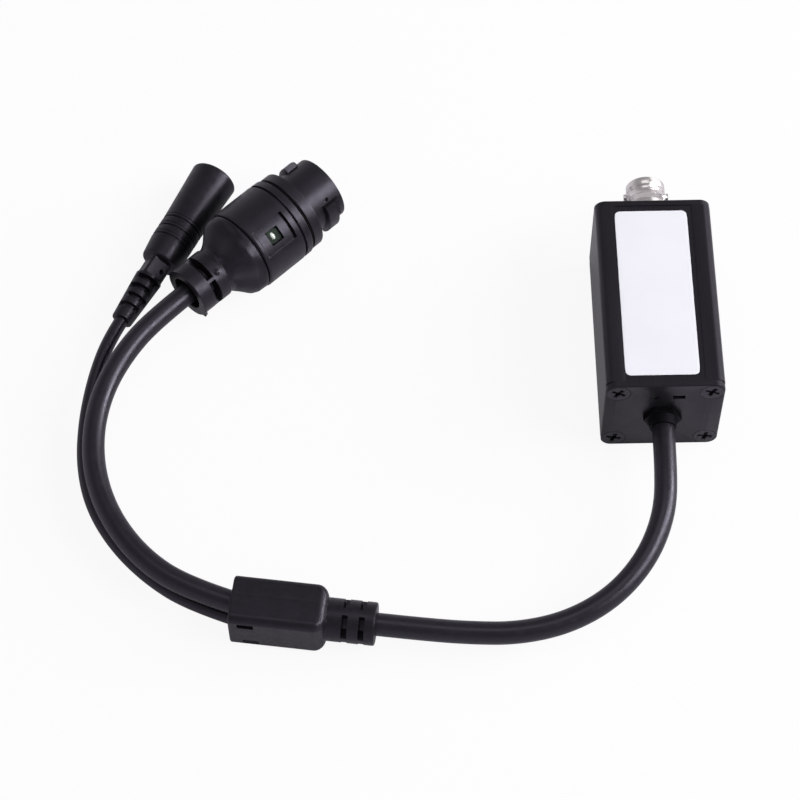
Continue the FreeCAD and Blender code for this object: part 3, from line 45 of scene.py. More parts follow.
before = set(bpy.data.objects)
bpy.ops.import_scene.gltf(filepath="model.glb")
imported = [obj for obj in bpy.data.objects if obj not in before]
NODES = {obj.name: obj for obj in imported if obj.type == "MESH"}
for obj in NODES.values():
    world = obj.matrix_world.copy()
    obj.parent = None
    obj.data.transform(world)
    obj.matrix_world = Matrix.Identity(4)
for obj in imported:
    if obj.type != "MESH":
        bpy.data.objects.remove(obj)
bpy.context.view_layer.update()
ROOT = "root"
MM = 0.001

# Limits for smooth shading, for flat faces made whole, for rounded edges and for joined points
SMOOTH_ANGLE = math.radians(32)
FLAT_ANGLE = math.radians(0.2)
BEVEL_ANGLE = math.radians(40)
MERGE_DISTANCE = 1e-6

# The tint of reflections on black finishes, and the finished materials by name
BLACK_SHEEN = (0.87, 0.81, 1.0)
FINISHES = {}

# Places of the slanted pieces: x, y and z of the rear end, then the turn of the axis from +X
SPLITTER_PLACE = (-101.7, -76.7, 6.45, -8.0)
NETWORK_PLACE = (-114.0, 7.2, 11.0, 43.2)
POWER_PLACE = (-130.4, 2.8, 6.0, 62.5)
JACK_PLACE = (0.0, 21.5, 13.5, 90.0)

# Turn of the light window about the network socket, in degrees from the left of the axis over its top
WINDOW_TURN = 130.0

# Routes of the three cords, from the gland or the splitter to the piece they end in
MAIN_ROUTE = [
    (0.0, -34.8, 13.5), (0.0, -46.5, 13.5), (-1.1, -57.4, 12.4), (-5.7, -67.8, 10.4),
    (-13.8, -76.5, 8.4), (-24.4, -82.0, 6.9), (-36.0, -84.2, 6.2), (-47.3, -83.8, 6.1),
    (-58.23, -82.79, 6.45), (-68.53, -81.36, 6.45)]
NETWORK_ROUTE = [
    (-101.04, -76.29, 8.5), (-112.6, -72.0, 8.5), (-122.6, -64.7, 8.6), (-130.1, -54.7, 8.8),
    (-134.6, -43.3, 9.0), (-135.8, -31.4, 9.3), (-133.8, -19.5, 9.7), (-128.9, -9.2, 10.3),
    (-122.0, -0.3, 11.0), (-112.18, 8.91, 11.0)]
POWER_ROUTE = [
    (-101.26, -77.87, 3.6), (-112.0, -73.8, 3.6), (-122.0, -66.5, 3.1), (-130.3, -57.3, 2.8),
    (-136.0, -46.9, 2.7), (-138.5, -35.6, 2.8), (-138.4, -24.2, 3.4), (-136.6, -13.2, 4.7),
    (-133.5, -3.15, 6.0), (-130.4, 2.8, 6.0)]

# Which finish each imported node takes: node, finish
NODE_FINISHES = {
    "housing_sleeve": "anodised_extrusion", "cable_end_plate": "coated_plate",
    "coax_end_plate": "coated_plate", "cable_end_screws": "blackened_steel",
    "coax_end_screws": "blackened_steel", "cable_gland": "gland_nylon",
    "coax_shell": "nickel_plate", "coax_nut": "nickel_plate", "coax_washer": "nickel_plate",
    "coax_insulator": "white_insulator", "coax_contact": "gold_plate",
    "network_insert": "hard_moulding", "network_seal": "soft_rubber",
    "network_contacts": "gold_plate", "network_window": "light_window",
    "power_insert": "hard_moulding", "power_pin": "nickel_plate", "power_spring": "nickel_plate",
    "circuit_board": "board_mask", "video_chip": "chip_epoxy", "network_chip": "chip_epoxy",
    "network_transformer": "chip_epoxy", "power_inductor": "chip_epoxy",
    "filter_capacitor": "drawn_can", "timing_crystal": "drawn_can",
    "wire_header": "header_nylon", "cable_cores": "core_jackets", "reset_switch": "chip_epoxy",
    "reset_plunger": "hard_moulding", "status_light": "smoked_lens"}

# Soft lamps, in metres: name, place, width and height, and radiance; all face one spot
LAMPS = (
    ("overhead_lamp", (-0.06, 0.05, 1.1), (0.75, 0.45), 0.8),
    ("low_right_lamp", (1.1, 0.2, 0.45), (0.5, 0.5), 10.0),
    ("high_right_lamp", (0.8, -0.26, 0.8), (0.62, 0.62), 6.4),
    ("back_lamp", (0.75, 0.6, 0.7), (0.6, 0.6), 1.0))
LAMP_TARGET = Vector((-0.06, -0.02, 0.0))
SENSOR_WIDTH = 36.0


class CordSizes(bpy.types.PropertyGroup):
    """Diameters of the three cords."""
    main: bpy.props.FloatProperty(
        name="Main cable", description="Diameter of the cable between box and splitter",
        default=0.0054, unit="LENGTH")
    network: bpy.props.FloatProperty(
        name="Network tail", description="Diameter of the tail to the network socket",
        default=0.0054, unit="LENGTH")
    power: bpy.props.FloatProperty(
        name="Power tail", description="Diameter of the tail to the power jack",
        default=0.0035, unit="LENGTH")


class MouldingSizes(bpy.types.PropertyGroup):
    """Sizes of the moulded pieces that a user may want to change."""
    boot_pinch: bpy.props.FloatProperty(
        name="Boot pinch", description="Depth of the hollows in the boot's shoulder",
        default=0.0013, unit="LENGTH")
    window_flat: bpy.props.FloatProperty(
        name="Window flat", description="Distance of the light window's flat from the axis",
        default=0.0104, unit="LENGTH")
    label_thickness: bpy.props.FloatProperty(
        name="Label thickness", description="Thickness of the label on the top face",
        default=0.00012, unit="LENGTH")


class FinishColours(bpy.types.PropertyGroup):
    """Colours of the finishes."""
    extrusion: bpy.props.FloatVectorProperty(
        name="Extrusion", description="Black anodising of the box", subtype="COLOR", size=3,
        default=(0.0065, 0.0062, 0.0072))
    plate: bpy.props.FloatVectorProperty(
        name="End plates", description="Black coat of the end plates", subtype="COLOR", size=3,
        default=(0.0075, 0.0071, 0.0082))
    moulding: bpy.props.FloatVectorProperty(
        name="Hard moulding", description="Hard black plastic", subtype="COLOR", size=3,
        default=(0.0062, 0.0058, 0.0069))
    rubber: bpy.props.FloatVectorProperty(
        name="Soft moulding", description="Soft black plastic", subtype="COLOR", size=3,
        default=(0.006, 0.0056, 0.0067))
    jacket: bpy.props.FloatVectorProperty(
        name="Jacket", description="Black jacket of the cords", subtype="COLOR", size=3,
        default=(0.006, 0.0056, 0.0068))
    nickel: bpy.props.FloatVectorProperty(
        name="Nickel", description="Plating of the coaxial jack", subtype="COLOR", size=3,
        default=(0.93, 0.88, 0.85))
    label: bpy.props.FloatVectorProperty(
        name="Label", description="Face of the label", subtype="COLOR", size=3,
        default=(0.93, 0.93, 0.985))


class StudioSettings(bpy.types.PropertyGroup):
    """Camera, floor and light levels."""
    lens: bpy.props.FloatProperty(
        name="Lens", description="Focal length on a sensor 36 mm wide", default=118.8, unit="CAMERA")
    pitch: bpy.props.FloatProperty(
        name="Pitch", description="How far the camera looks down", subtype="ANGLE",
        default=math.radians(59.488))
    roll: bpy.props.FloatProperty(
        name="Roll", description="Turn of the camera about its view", subtype="ANGLE",
        default=math.radians(-1.026))
    place: bpy.props.FloatVectorProperty(
        name="Place", description="Where the camera stands", subtype="TRANSLATION", size=3,
        default=(-0.062171, -0.345370, 0.555837))
    world_level: bpy.props.FloatProperty(
        name="World level", description="Strength of the sky at its zenith", default=0.3)
    lamp_level: bpy.props.FloatProperty(
        name="Lamp level", description="Factor on the power of every lamp", default=1.0)


class Finish:
    """A node material with one Principled shader, patterned on Object coordinates."""

    def __init__(self, name, colour, roughness, metallic=0.0, specular=0.5, coat=0.0, sheen=(1, 1, 1)):
        material = bpy.data.materials.new(name)
        material.use_nodes = True
        self.nodes = material.node_tree.nodes
        self.links = material.node_tree.links
        self.shader = self.nodes["Principled BSDF"]
        for socket, value in (
                ("Base Color", (*colour, 1.0)), ("Roughness", roughness), ("Metallic", metallic),
                ("Specular IOR Level", specular), ("Coat Weight", coat), ("Specular Tint", (*sheen, 1.0))):
            self.shader.inputs[socket].default_value = value
        self.place = self.nodes.new("ShaderNodeTexCoord").outputs["Object"]
        self.height = None
        FINISHES[name] = material

    def noise(self, size, stretch=(1, 1, 1), detail=3.0):
        """Noise whose grains are about size millimetres, drawn out by stretch along each axis."""
        mapping = self.nodes.new("ShaderNodeMapping")
        mapping.inputs["Scale"].default_value = [1.0 / (part * size * MM) for part in stretch]
        self.links.new(self.place, mapping.inputs["Vector"])
        noise = self.nodes.new("ShaderNodeTexNoise")
        noise.inputs["Scale"].default_value = 1.0
        noise.inputs["Detail"].default_value = detail
        self.links.new(mapping.outputs["Vector"], noise.inputs["Vector"])
        return noise.outputs["Fac"]

    def spread(self, factor, low, high, start=0.3, end=0.7):
        """A value that runs from low to high as the factor runs from start to end."""
        ranging = self.nodes.new("ShaderNodeMapRange")
        for socket, number in (("From Min", start), ("From Max", end),
                               ("To Min", low), ("To Max", high)):
            ranging.inputs[socket].default_value = number
        self.links.new(factor, ranging.inputs["Value"])
        return ranging.outputs["Result"]

    def rough(self, factor, low, high):
        """The roughness between two values by a factor."""
        self.links.new(self.spread(factor, low, high), self.shader.inputs["Roughness"])
        return self

    def tint(self, factor, first, second, start=0.35, end=0.65):
        """The base colour between two colours by a factor."""
        mix = self.nodes.new("ShaderNodeMix")
        mix.data_type = "RGBA"
        mix.inputs["A"].default_value = (*first, 1.0)
        mix.inputs["B"].default_value = (*second, 1.0)
        self.links.new(self.spread(factor, 0.0, 1.0, start, end), mix.inputs["Factor"])
        self.links.new(mix.outputs["Result"], self.shader.inputs["Base Color"])
        return self

    def relief(self, factor, depth, strength=1.0):
        """Bump of a depth in millimetres, on top of what is there."""
        bump = self.nodes.new("ShaderNodeBump")
        bump.inputs["Distance"].default_value = depth * MM
        bump.inputs["Strength"].default_value = strength
        self.links.new(factor, bump.inputs["Height"])
        if self.height:
            self.links.new(self.height, bump.inputs["Normal"])
        self.height = bump.outputs["Normal"]
        self.links.new(self.height, self.shader.inputs["Normal"])
        return self


def shade(colour, factor):
    """A colour made darker or brighter by a factor."""
    return tuple(min(part * factor, 1.0) for part in colour)


def make_finishes():
    """Make every finish of the converter, which FINISHES then holds by name."""
    tones = bpy.context.scene.converter_colours

    extrusion = Finish("anodised_extrusion", tones.extrusion, 0.34, sheen=BLACK_SHEEN)
    lines = extrusion.noise(0.16, (1, 260, 1), 4.0)
    extrusion.rough(lines, 0.26, 0.32).relief(lines, 0.0012, 0.4)
    extrusion.relief(extrusion.noise(0.09), 0.002, 0.4)
    extrusion.tint(extrusion.noise(9, (1, 3, 1)), tones.extrusion, shade(tones.extrusion, 1.35))

    plate = Finish("coated_plate", tones.plate, 0.24, specular=0.4, sheen=BLACK_SHEEN)
    grain = plate.noise(0.22)
    plate.rough(plate.noise(3.5), 0.32, 0.4).relief(grain, 0.0006, 0.5)
    plate.tint(plate.noise(5), tones.plate, shade(tones.plate, 1.3))

    steel = Finish("blackened_steel", (0.01, 0.01, 0.011), 0.32, sheen=BLACK_SHEEN)
    steel.rough(steel.noise(0.5), 0.26, 0.4)
    steel.tint(steel.noise(0.7), (0.007, 0.007, 0.008), (0.02, 0.019, 0.021))

    hard = Finish("hard_moulding", tones.moulding, 0.3, sheen=BLACK_SHEEN)
    hard.rough(hard.noise(1.6), 0.31, 0.43).relief(hard.noise(0.14), 0.002, 0.6)
    hard.relief(hard.noise(2.6, detail=1.0), 0.02, 0.5)
    hard.tint(hard.noise(4), tones.moulding, shade(tones.moulding, 1.35))

    gland = Finish("gland_nylon", shade(tones.moulding, 0.35), 0.5, specular=0.1, sheen=BLACK_SHEEN)
    gland.rough(gland.noise(1.1), 0.45, 0.58).relief(gland.noise(0.2), 0.002, 0.6)

    soft = Finish("soft_moulding", tones.rubber, 0.34, specular=0.42, sheen=BLACK_SHEEN)
    soft.rough(soft.noise(1.2), 0.28, 0.42).relief(soft.noise(0.2), 0.003, 0.6)
    soft.relief(soft.noise(2.2, detail=1.0), 0.03, 0.5)
    soft.tint(soft.noise(3), tones.rubber, shade(tones.rubber, 1.5))

    rubber = Finish("soft_rubber", shade(tones.rubber, 0.5), 0.8, specular=0.08)
    rubber.relief(rubber.noise(0.3), 0.006, 0.7)

    jacket = Finish("cord_jacket", tones.jacket, 0.33, specular=0.6, sheen=BLACK_SHEEN)
    jacket.rough(jacket.noise(2.2), 0.26, 0.4)
    jacket.relief(jacket.noise(0.9), 0.01, 0.35).relief(jacket.noise(0.12), 0.002, 0.5)
    jacket.tint(jacket.noise(6), tones.jacket, shade(tones.jacket, 1.3))

    nickel = Finish("nickel_plate", tones.nickel, 0.2, metallic=1.0)
    turning = nickel.noise(0.12, (30, 1, 30), 3.0)
    nickel.rough(turning, 0.2, 0.3)
    nickel.tint(nickel.noise(2.2), tones.nickel, shade(tones.nickel, 0.92))

    gold = Finish("gold_plate", (0.83, 0.6, 0.24), 0.2, metallic=1.0)
    gold.rough(gold.noise(0.4), 0.15, 0.28)

    insulator = Finish("white_insulator", (0.8, 0.8, 0.76), 0.4)
    insulator.rough(insulator.noise(0.6), 0.34, 0.46)

    label = Finish("label_film", tones.label, 0.35)
    label.rough(label.noise(2.0), 0.3, 0.4).relief(label.noise(0.25), 0.002, 0.4)
    label.tint(label.noise(14), tones.label, shade(tones.label, 0.975))

    window = Finish("light_window", (0.008, 0.016, 0.01), 0.45, specular=0.12)
    window.tint(window.noise(0.9), (0.004, 0.009, 0.006), (0.014, 0.03, 0.018))

    lens = Finish("light_lens", (0.75, 0.82, 0.75), 0.12, coat=1.0)
    lens.tint(lens.noise(0.7), (0.6, 0.68, 0.6), (0.9, 0.93, 0.9))

    smoked = Finish("smoked_lens", (0.03, 0.034, 0.03), 0.1, coat=1.0)
    smoked.rough(smoked.noise(0.4), 0.06, 0.16)

    board = Finish("board_mask", (0.012, 0.09, 0.04), 0.32)
    tracks = board.noise(1.1, (1, 6, 1), 0.0)
    board.tint(tracks, (0.01, 0.08, 0.035), (0.02, 0.13, 0.06), 0.48, 0.52).relief(tracks, 0.02, 0.4)

    epoxy = Finish("chip_epoxy", (0.018, 0.018, 0.02), 0.5)
    epoxy.rough(epoxy.noise(0.4), 0.42, 0.6).relief(epoxy.noise(0.1), 0.003, 0.7)

    can = Finish("drawn_can", (0.55, 0.55, 0.57), 0.28, metallic=1.0)
    can.rough(can.noise(0.5, (1, 1, 8)), 0.2, 0.36)

    nylon = Finish("header_nylon", (0.72, 0.68, 0.56), 0.45)
    nylon.rough(nylon.noise(0.8), 0.4, 0.52)

    cores = Finish("core_jackets", (0.5, 0.1, 0.06), 0.42)
    cores.tint(cores.noise(1.15, (1, 900, 900), 0.0), (0.5, 0.06, 0.04), (0.6, 0.5, 0.08), 0.49, 0.51)


def placed(points, place):
    """Points of a piece whose own axis is X, turned about Z and moved to its place, in metres."""
    x, y, z, turn = place
    c, s = math.cos(math.radians(turn)), math.sin(math.radians(turn))
    turned = points @ np.array([[c, s, 0], [-s, c, 0], [0, 0, 1]])
    return (turned + np.array([x, y, z])) * MM


def grid_piece(name, points, place, finish, looped=False):
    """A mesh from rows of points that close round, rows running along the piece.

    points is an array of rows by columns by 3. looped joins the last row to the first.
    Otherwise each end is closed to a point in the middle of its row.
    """
    rows, columns = points.shape[:2]
    vertices = [points.reshape(-1, 3)]
    row = np.arange(rows if looped else rows - 1)[:, None]
    column = np.arange(columns)[None, :]
    after, beside = (row + 1) % rows, (column + 1) % columns
    quads = np.stack([row * columns + column, row * columns + beside,
                      after * columns + beside, after * columns + column], axis=-1).reshape(-1, 4)
    faces = quads.tolist()
    if not looped:
        ring = np.arange(columns)
        following = (ring + 1) % columns
        last_row = (rows - 1) * columns
        for middle, end, first, second in (
                (rows * columns, points[0], following, ring),
                (rows * columns + 1, points[-1], last_row + ring, last_row + following)):
            vertices.append(end.mean(axis=0, keepdims=True))
            faces += np.stack([first, second, np.full(columns, middle)], axis=-1).tolist()
    mesh = bpy.data.meshes.new(name)
    mesh.from_pydata(placed(np.concatenate(vertices), place).tolist(), [], faces)
    mesh.validate()
    shade_smooth(mesh)
    return settle(bpy.data.objects.new(name, mesh), finish)


def shade_smooth(mesh):
    """Shade a mesh smooth, apart from its sharp edges."""
    mesh.polygons.foreach_set("use_smooth", np.ones(len(mesh.polygons), bool))
    mesh.set_sharp_from_angle(angle=SMOOTH_ANGLE)


def settle(piece, finish):
    """Link a finished piece, give it its material, and let it ride on the box."""
    bpy.context.scene.collection.objects.link(piece)
    piece.data.materials.clear()
    piece.data.materials.append(FINISHES[finish])
    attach(piece, ROOT)
    return piece


def turned_rows(profile, angles):
    """Rows of a surface of revolution: each profile entry gives its place along and its radius."""
    profile = np.asarray(profile, float)
    along = np.repeat(profile[:, :1], len(angles), axis=1)
    radius = np.repeat(profile[:, 1:2], len(angles), axis=1)
    return along, radius


def rows_to_points(along, radius, angles):
    """Points from axial places and radii; angle 0 is the left of the axis and 90 its top."""
    return np.stack([along, radius * np.cos(angles), radius * np.sin(angles)], axis=-1)


def circle_angles(count):
    """Even angles round a circle, without its end."""
    return np.linspace(0.0, 2 * math.pi, count, endpoint=False)


def softened(profile, reach):
    """A profile whose corners are each cut by two points at a small reach along their sides."""
    profile = np.asarray(profile, float)
    result = [profile[0]]
    for before, corner, after in zip(profile[:-2], profile[1:-1], profile[2:]):
        back, ahead = before - corner, after - corner
        near = min(reach, 0.4 * np.linalg.norm(back), 0.4 * np.linalg.norm(ahead))
        first = corner + back / max(np.linalg.norm(back), 1e-9) * near
        last = corner + ahead / max(np.linalg.norm(ahead), 1e-9) * near
        result += [first, 0.25 * first + 0.5 * corner + 0.25 * last, last]
    result.append(profile[-1])
    return np.array(result)


def divided(profile, step):
    """A profile with points added so that no stretch is longer than a step."""
    result = [profile[0]]
    for start, end in zip(profile[:-1], profile[1:]):
        count = max(int(np.linalg.norm(end - start) // step), 1)
        result += [start + (end - start) * (number + 1) / count for number in range(count)]
    return np.array(result)


def near_angle(angles, centre):
    """Signed distance of each angle from a centre in degrees, in degrees."""
    return (np.degrees(angles) - centre + 180.0) % 360.0 - 180.0


def eased(value, low, high):
    """Zero below low, one above high, and a smooth S between."""
    share = np.clip((value - low) / (high - low), 0.0, 1.0)
    return share * share * (3 - 2 * share)


def band(value, low, high, edge):
    """One between low and high, with smooth edges of a given width."""
    return eased(value, low - edge, low) * (1 - eased(value, high, high + edge))


def patch(along, low, high, edge, turn, left, right, soft):
    """One over a patch of a turned surface, between two places along it and two turns."""
    return band(along, low, high, edge) * band(turn, left, right, soft)


def spot_distance(along, angles, place, centre, radius):
    """Distance over a turned surface of a radius from a spot at a place and an angle."""
    return np.hypot(along - place, np.radians(near_angle(angles, centre)) * radius)


def slots(along, radius, angles, start, width, core, centres, cover, edge=0.12):
    """Radii with slots cut down to the core, each covering an angle about a centre."""
    for centre in centres:
        share = patch(along, start, start + width, edge,
                      near_angle(angles, centre), -cover / 2, cover / 2, 2.0)
        radius = radius + (np.minimum(core, radius) - radius) * share
    return radius


def flat_cut(radius, angles, normal, distance, share):
    """Radii cut back to a plane at a distance from the axis, where share is one."""
    cosine = np.cos(np.radians(near_angle(angles, normal)))
    plane = np.where(cosine > 0.2, distance / np.maximum(cosine, 0.2), 1e3)
    return radius + (np.minimum(radius, plane) - radius) * share


def box_radius(angles, half_wide, half_tall, corner):
    """Distance to the edge of a rounded rectangle in each direction from its middle."""
    c, s = np.abs(np.cos(angles)), np.abs(np.sin(angles))
    a, b = half_wide - corner, half_tall - corner
    side = half_wide / np.maximum(c, 1e-9)
    top = half_tall / np.maximum(s, 1e-9)
    dot = a * c + b * s
    arc = dot + np.sqrt(np.maximum(dot ** 2 - (a ** 2 + b ** 2 - corner ** 2), 0.0))
    return np.where(side * s <= b, side, np.where(top * c <= a, top, arc))


def smooth_copy(node, bevel=0.0):
    """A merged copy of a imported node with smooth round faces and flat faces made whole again,
    which stands for the node. A bevel, in millimetres, rounds its edges."""
    name = node + "_finished"
    mesh = NODES[node].data.copy()
    mesh.name = name
    work = bmesh.new()
    work.from_mesh(mesh)
    bmesh.ops.remove_doubles(work, verts=work.verts, dist=MERGE_DISTANCE)
    bmesh.ops.dissolve_limit(work, angle_limit=FLAT_ANGLE, verts=work.verts, edges=work.edges)
    work.to_mesh(mesh)
    work.free()
    shade_smooth(mesh)
    piece = settle(bpy.data.objects.new(name, mesh), NODE_FINISHES[node])
    if bevel:
        rounding = piece.modifiers.new("rounded_edges", "BEVEL")
        rounding.width = bevel * MM
        rounding.segments = 3
        rounding.limit_method = "ANGLE"
        rounding.angle_limit = BEVEL_ANGLE
        rounding.harden_normals = True
    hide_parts(node)


def metres(place):
    """A place in metres."""
    return tuple(part * MM for part in place)


def cord_curve(name, route, diameter, node):
    """A cord as a NURBS curve of order 3 that starts and ends at its route's ends."""
    curve = bpy.data.curves.new(name, "CURVE")
    curve.dimensions = "3D"
    curve.bevel_depth = diameter / 2
    curve.bevel_resolution = 8
    curve.resolution_u = 16
    curve.use_fill_caps = True
    spline = curve.splines.new("NURBS")
    spline.points.add(len(route) - 1)
    for point, place in zip(spline.points, route):
        point.co = (*metres(place), 1.0)
    spline.order_u = 3
    spline.use_endpoint_u = True
    spline.use_smooth = True
    piece = settle(bpy.data.objects.new(name, curve), "cord_jacket")
    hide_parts(node)
    return piece


class CONVERTER_OT_finishes(bpy.types.Operator):
    """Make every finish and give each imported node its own"""
    bl_idname = "converter.finishes"
    bl_label = "Finishes"

    def execute(self, context):
        make_finishes()
        for node, finish in NODE_FINISHES.items():
            NODES[node].data.materials.clear()
            NODES[node].data.materials.append(FINISHES[finish])
        return {"FINISHED"}


class CONVERTER_OT_housing(bpy.types.Operator):
    """Dress the extrusion, its end plates, their screws and the label"""
    bl_idname = "converter.housing"
    bl_label = "Housing"

    def execute(self, context):
        for node in ("housing_sleeve", "cable_end_plate", "coax_end_plate", "cable_end_screws",
                     "coax_end_screws"):
            smooth_copy(node, bevel=0.2)
        self.label(context.scene.converter_mouldings.label_thickness / MM)
        return {"FINISHED"}

    def label(self, thickness):
        """Rounded rectangles that rise at the sheet's edge and then run in to its middle."""
        shift, longer, corner = -0.2, 0.2, 1.3
        low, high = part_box("rating_label")
        middle = np.array((low + high) / 2) / MM
        wide, long = np.array(high - low)[:2] / MM / 2 + np.array([0.0, longer])
        angles = circle_angles(240)
        rows = []
        for inset, height in ((0.0, 0.0), (0.0, thickness * 0.7), (0.03, thickness * 0.95),
                              (0.08, thickness), (0.6, thickness), (4.0, thickness)):
            reach = box_radius(angles, wide - inset, long - inset, max(corner - inset, 0.4))
            rows.append(np.stack([reach * np.cos(angles), reach * np.sin(angles),
                                  np.full_like(angles, height)], axis=-1))
        place = (middle[0] + shift, middle[1], low.z / MM, 0.0)
        piece = grid_piece("label_sheet", np.array(rows), place, "label_film")
        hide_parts("rating_label")


class CONVERTER_OT_gland(bpy.types.Operator):
    """Dress the faceted gland and the light beside it"""
    bl_idname = "converter.gland"
    bl_label = "Gland, button and light"

    def execute(self, context):
        smooth_copy("cable_gland", bevel=0.15)
        smooth_copy("status_light")
        return {"FINISHED"}


class CONVERTER_OT_coax_jack(bpy.types.Operator):
    """Dress the coaxial jack and cut the thread under its nut"""
    bl_idname = "converter.coax_jack"
    bl_label = "Coaxial jack"

    def execute(self, context):
        for node in ("coax_shell", "coax_nut", "coax_washer", "coax_insulator", "coax_contact"):
            smooth_copy(node)
        self.thread()
        return {"FINISHED"}

    def thread(self):
        """A ridge whose height is a triangle wave of place along the axis minus angle."""
        angles = circle_angles(96)
        pitch, root, crest = 0.8, 4.55, 4.78
        along = np.linspace(2.7, 4.5, 37)[:, None] + 0 * angles
        phase = (along / pitch - angles / (2 * math.pi)) % 1.0
        radius = root + (crest - root) * (1 - np.abs(2 * phase - 1))
        points = rows_to_points(along, radius, angles)
        grid_piece("jack_thread", points, JACK_PLACE, "nickel_plate")


class CONVERTER_OT_splitter(bpy.types.Operator):
    """Mould the splitter's block and its slotted relief"""
    bl_idname = "converter.splitter"
    bl_label = "Splitter"

    def execute(self, context):
        self.block()
        for name, side, route, hole in (("network_tail_rim", 0.5, NETWORK_ROUTE, 2.7),
                                        ("power_tail_rim", -1.1, POWER_ROUTE, 1.75)):
            self.rim(name, side, route[0][2] - SPLITTER_PLACE[2], hole)
        return {"FINISHED"}

    def block(self):
        """Rounded rectangles along the block, narrowed by circle arcs in plan and in height at
        the relief's end and joined with the relief's circle, then circles along the relief."""
        angles = circle_angles(360)
        half_wide, half_tall, corner, length = 6.15, 6.45, 1.9, 22.3
        plan_round, end_round, relief_radius, relief_length = 3.0, 2.3, 5.05, 11.2
        crown_fall, seam_side, seam_reach, seam_depth = 0.22, 0.9, 0.35, 0.02
        places = np.concatenate([[0.0, 0.1, 0.25], np.arange(0.5, 19.2, 0.2),
                                 np.arange(19.25, 22.31, 0.1)])

        def pull(radius):
            """How far a quarter circle that ends at the relief has drawn in."""
            share = np.clip((places - length + radius) / radius, 0.0, 1.0)
            return radius * (1 - np.sqrt(1 - share ** 2))

        start = np.clip(0.3 - places, 0.0, 0.3)
        wide, tall = half_wide - pull(plan_round) - start, half_tall - pull(end_round) - start
        edge = np.minimum(corner, np.minimum(wide, tall) - 0.1)
        rings = np.array([box_radius(angles, *sizes) for sizes in zip(wide, tall, edge)])
        crown = crown_fall * (rings * np.cos(angles) / half_wide) ** 2 * np.abs(np.sin(angles)) ** 3
        rings = rings - crown * (places < length - 1)[:, None]
        side = rings * np.cos(angles)
        seam = np.exp(-((side - seam_side) / seam_reach) ** 2) * (np.sin(angles) > 0.6)
        rings = rings - seam_depth * seam
        rings = np.where(places[:, None] > length - plan_round, np.maximum(rings, relief_radius), rings)
        relief_end = length + relief_length
        relief = divided(softened([(length, relief_radius), (relief_end, relief_radius),
                                   (relief_end, 0.5)], 0.45), 0.15)[1:]
        along = np.concatenate([places, relief[:, 0]])[:, None] + 0 * angles
        radius = np.concatenate([rings, relief[:, 1:] + 0 * angles])
        for slot_start in (length + 3.6, length + 7.5):
            radius = slots(along, radius, angles, slot_start, 1.15, 2.9,
                           (45.5, 135.5, 225.5, 315.5), 65.0, 0.08)
        radius = self.pockets(along, radius, angles)
        piece = grid_piece("splitter_moulding", rows_to_points(along, radius, angles),
                           SPLITTER_PLACE, "soft_moulding")
        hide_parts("splitter")

    def pockets(self, along, radius, angles):
        """Radii with two small pockets in the front side, by place along and height on that side."""
        depth, edge = 0.6, 0.12
        height = radius * np.sin(angles)
        front = eased(np.abs(near_angle(angles, 180.0)), 60, 50)
        for low, high, bottom, top in ((2.2, 5.8, 2.95, 4.5), (3.2, 6.8, -4.75, -3.35)):
            share = front * band(along, low, high, edge) * band(height, bottom, top, edge)
            radius = radius - depth * share
        return radius

    def rim(self, name, side, height, hole):
        """A small rounded lip where a tail leaves the block, turned about the tail's axis."""
        angles = circle_angles(64)
        along, radius = turned_rows([
            (0.3, hole + 0.05), (-0.25, hole + 0.05), (-0.4, hole + 0.2), (-0.4, hole + 0.4),
            (-0.2, hole + 0.55), (0.3, hole + 0.55)], angles)
        points = rows_to_points(along, radius, angles) + np.array([0.0, side, height])
        grid_piece(name, points, SPLITTER_PLACE, "soft_moulding", looped=True)


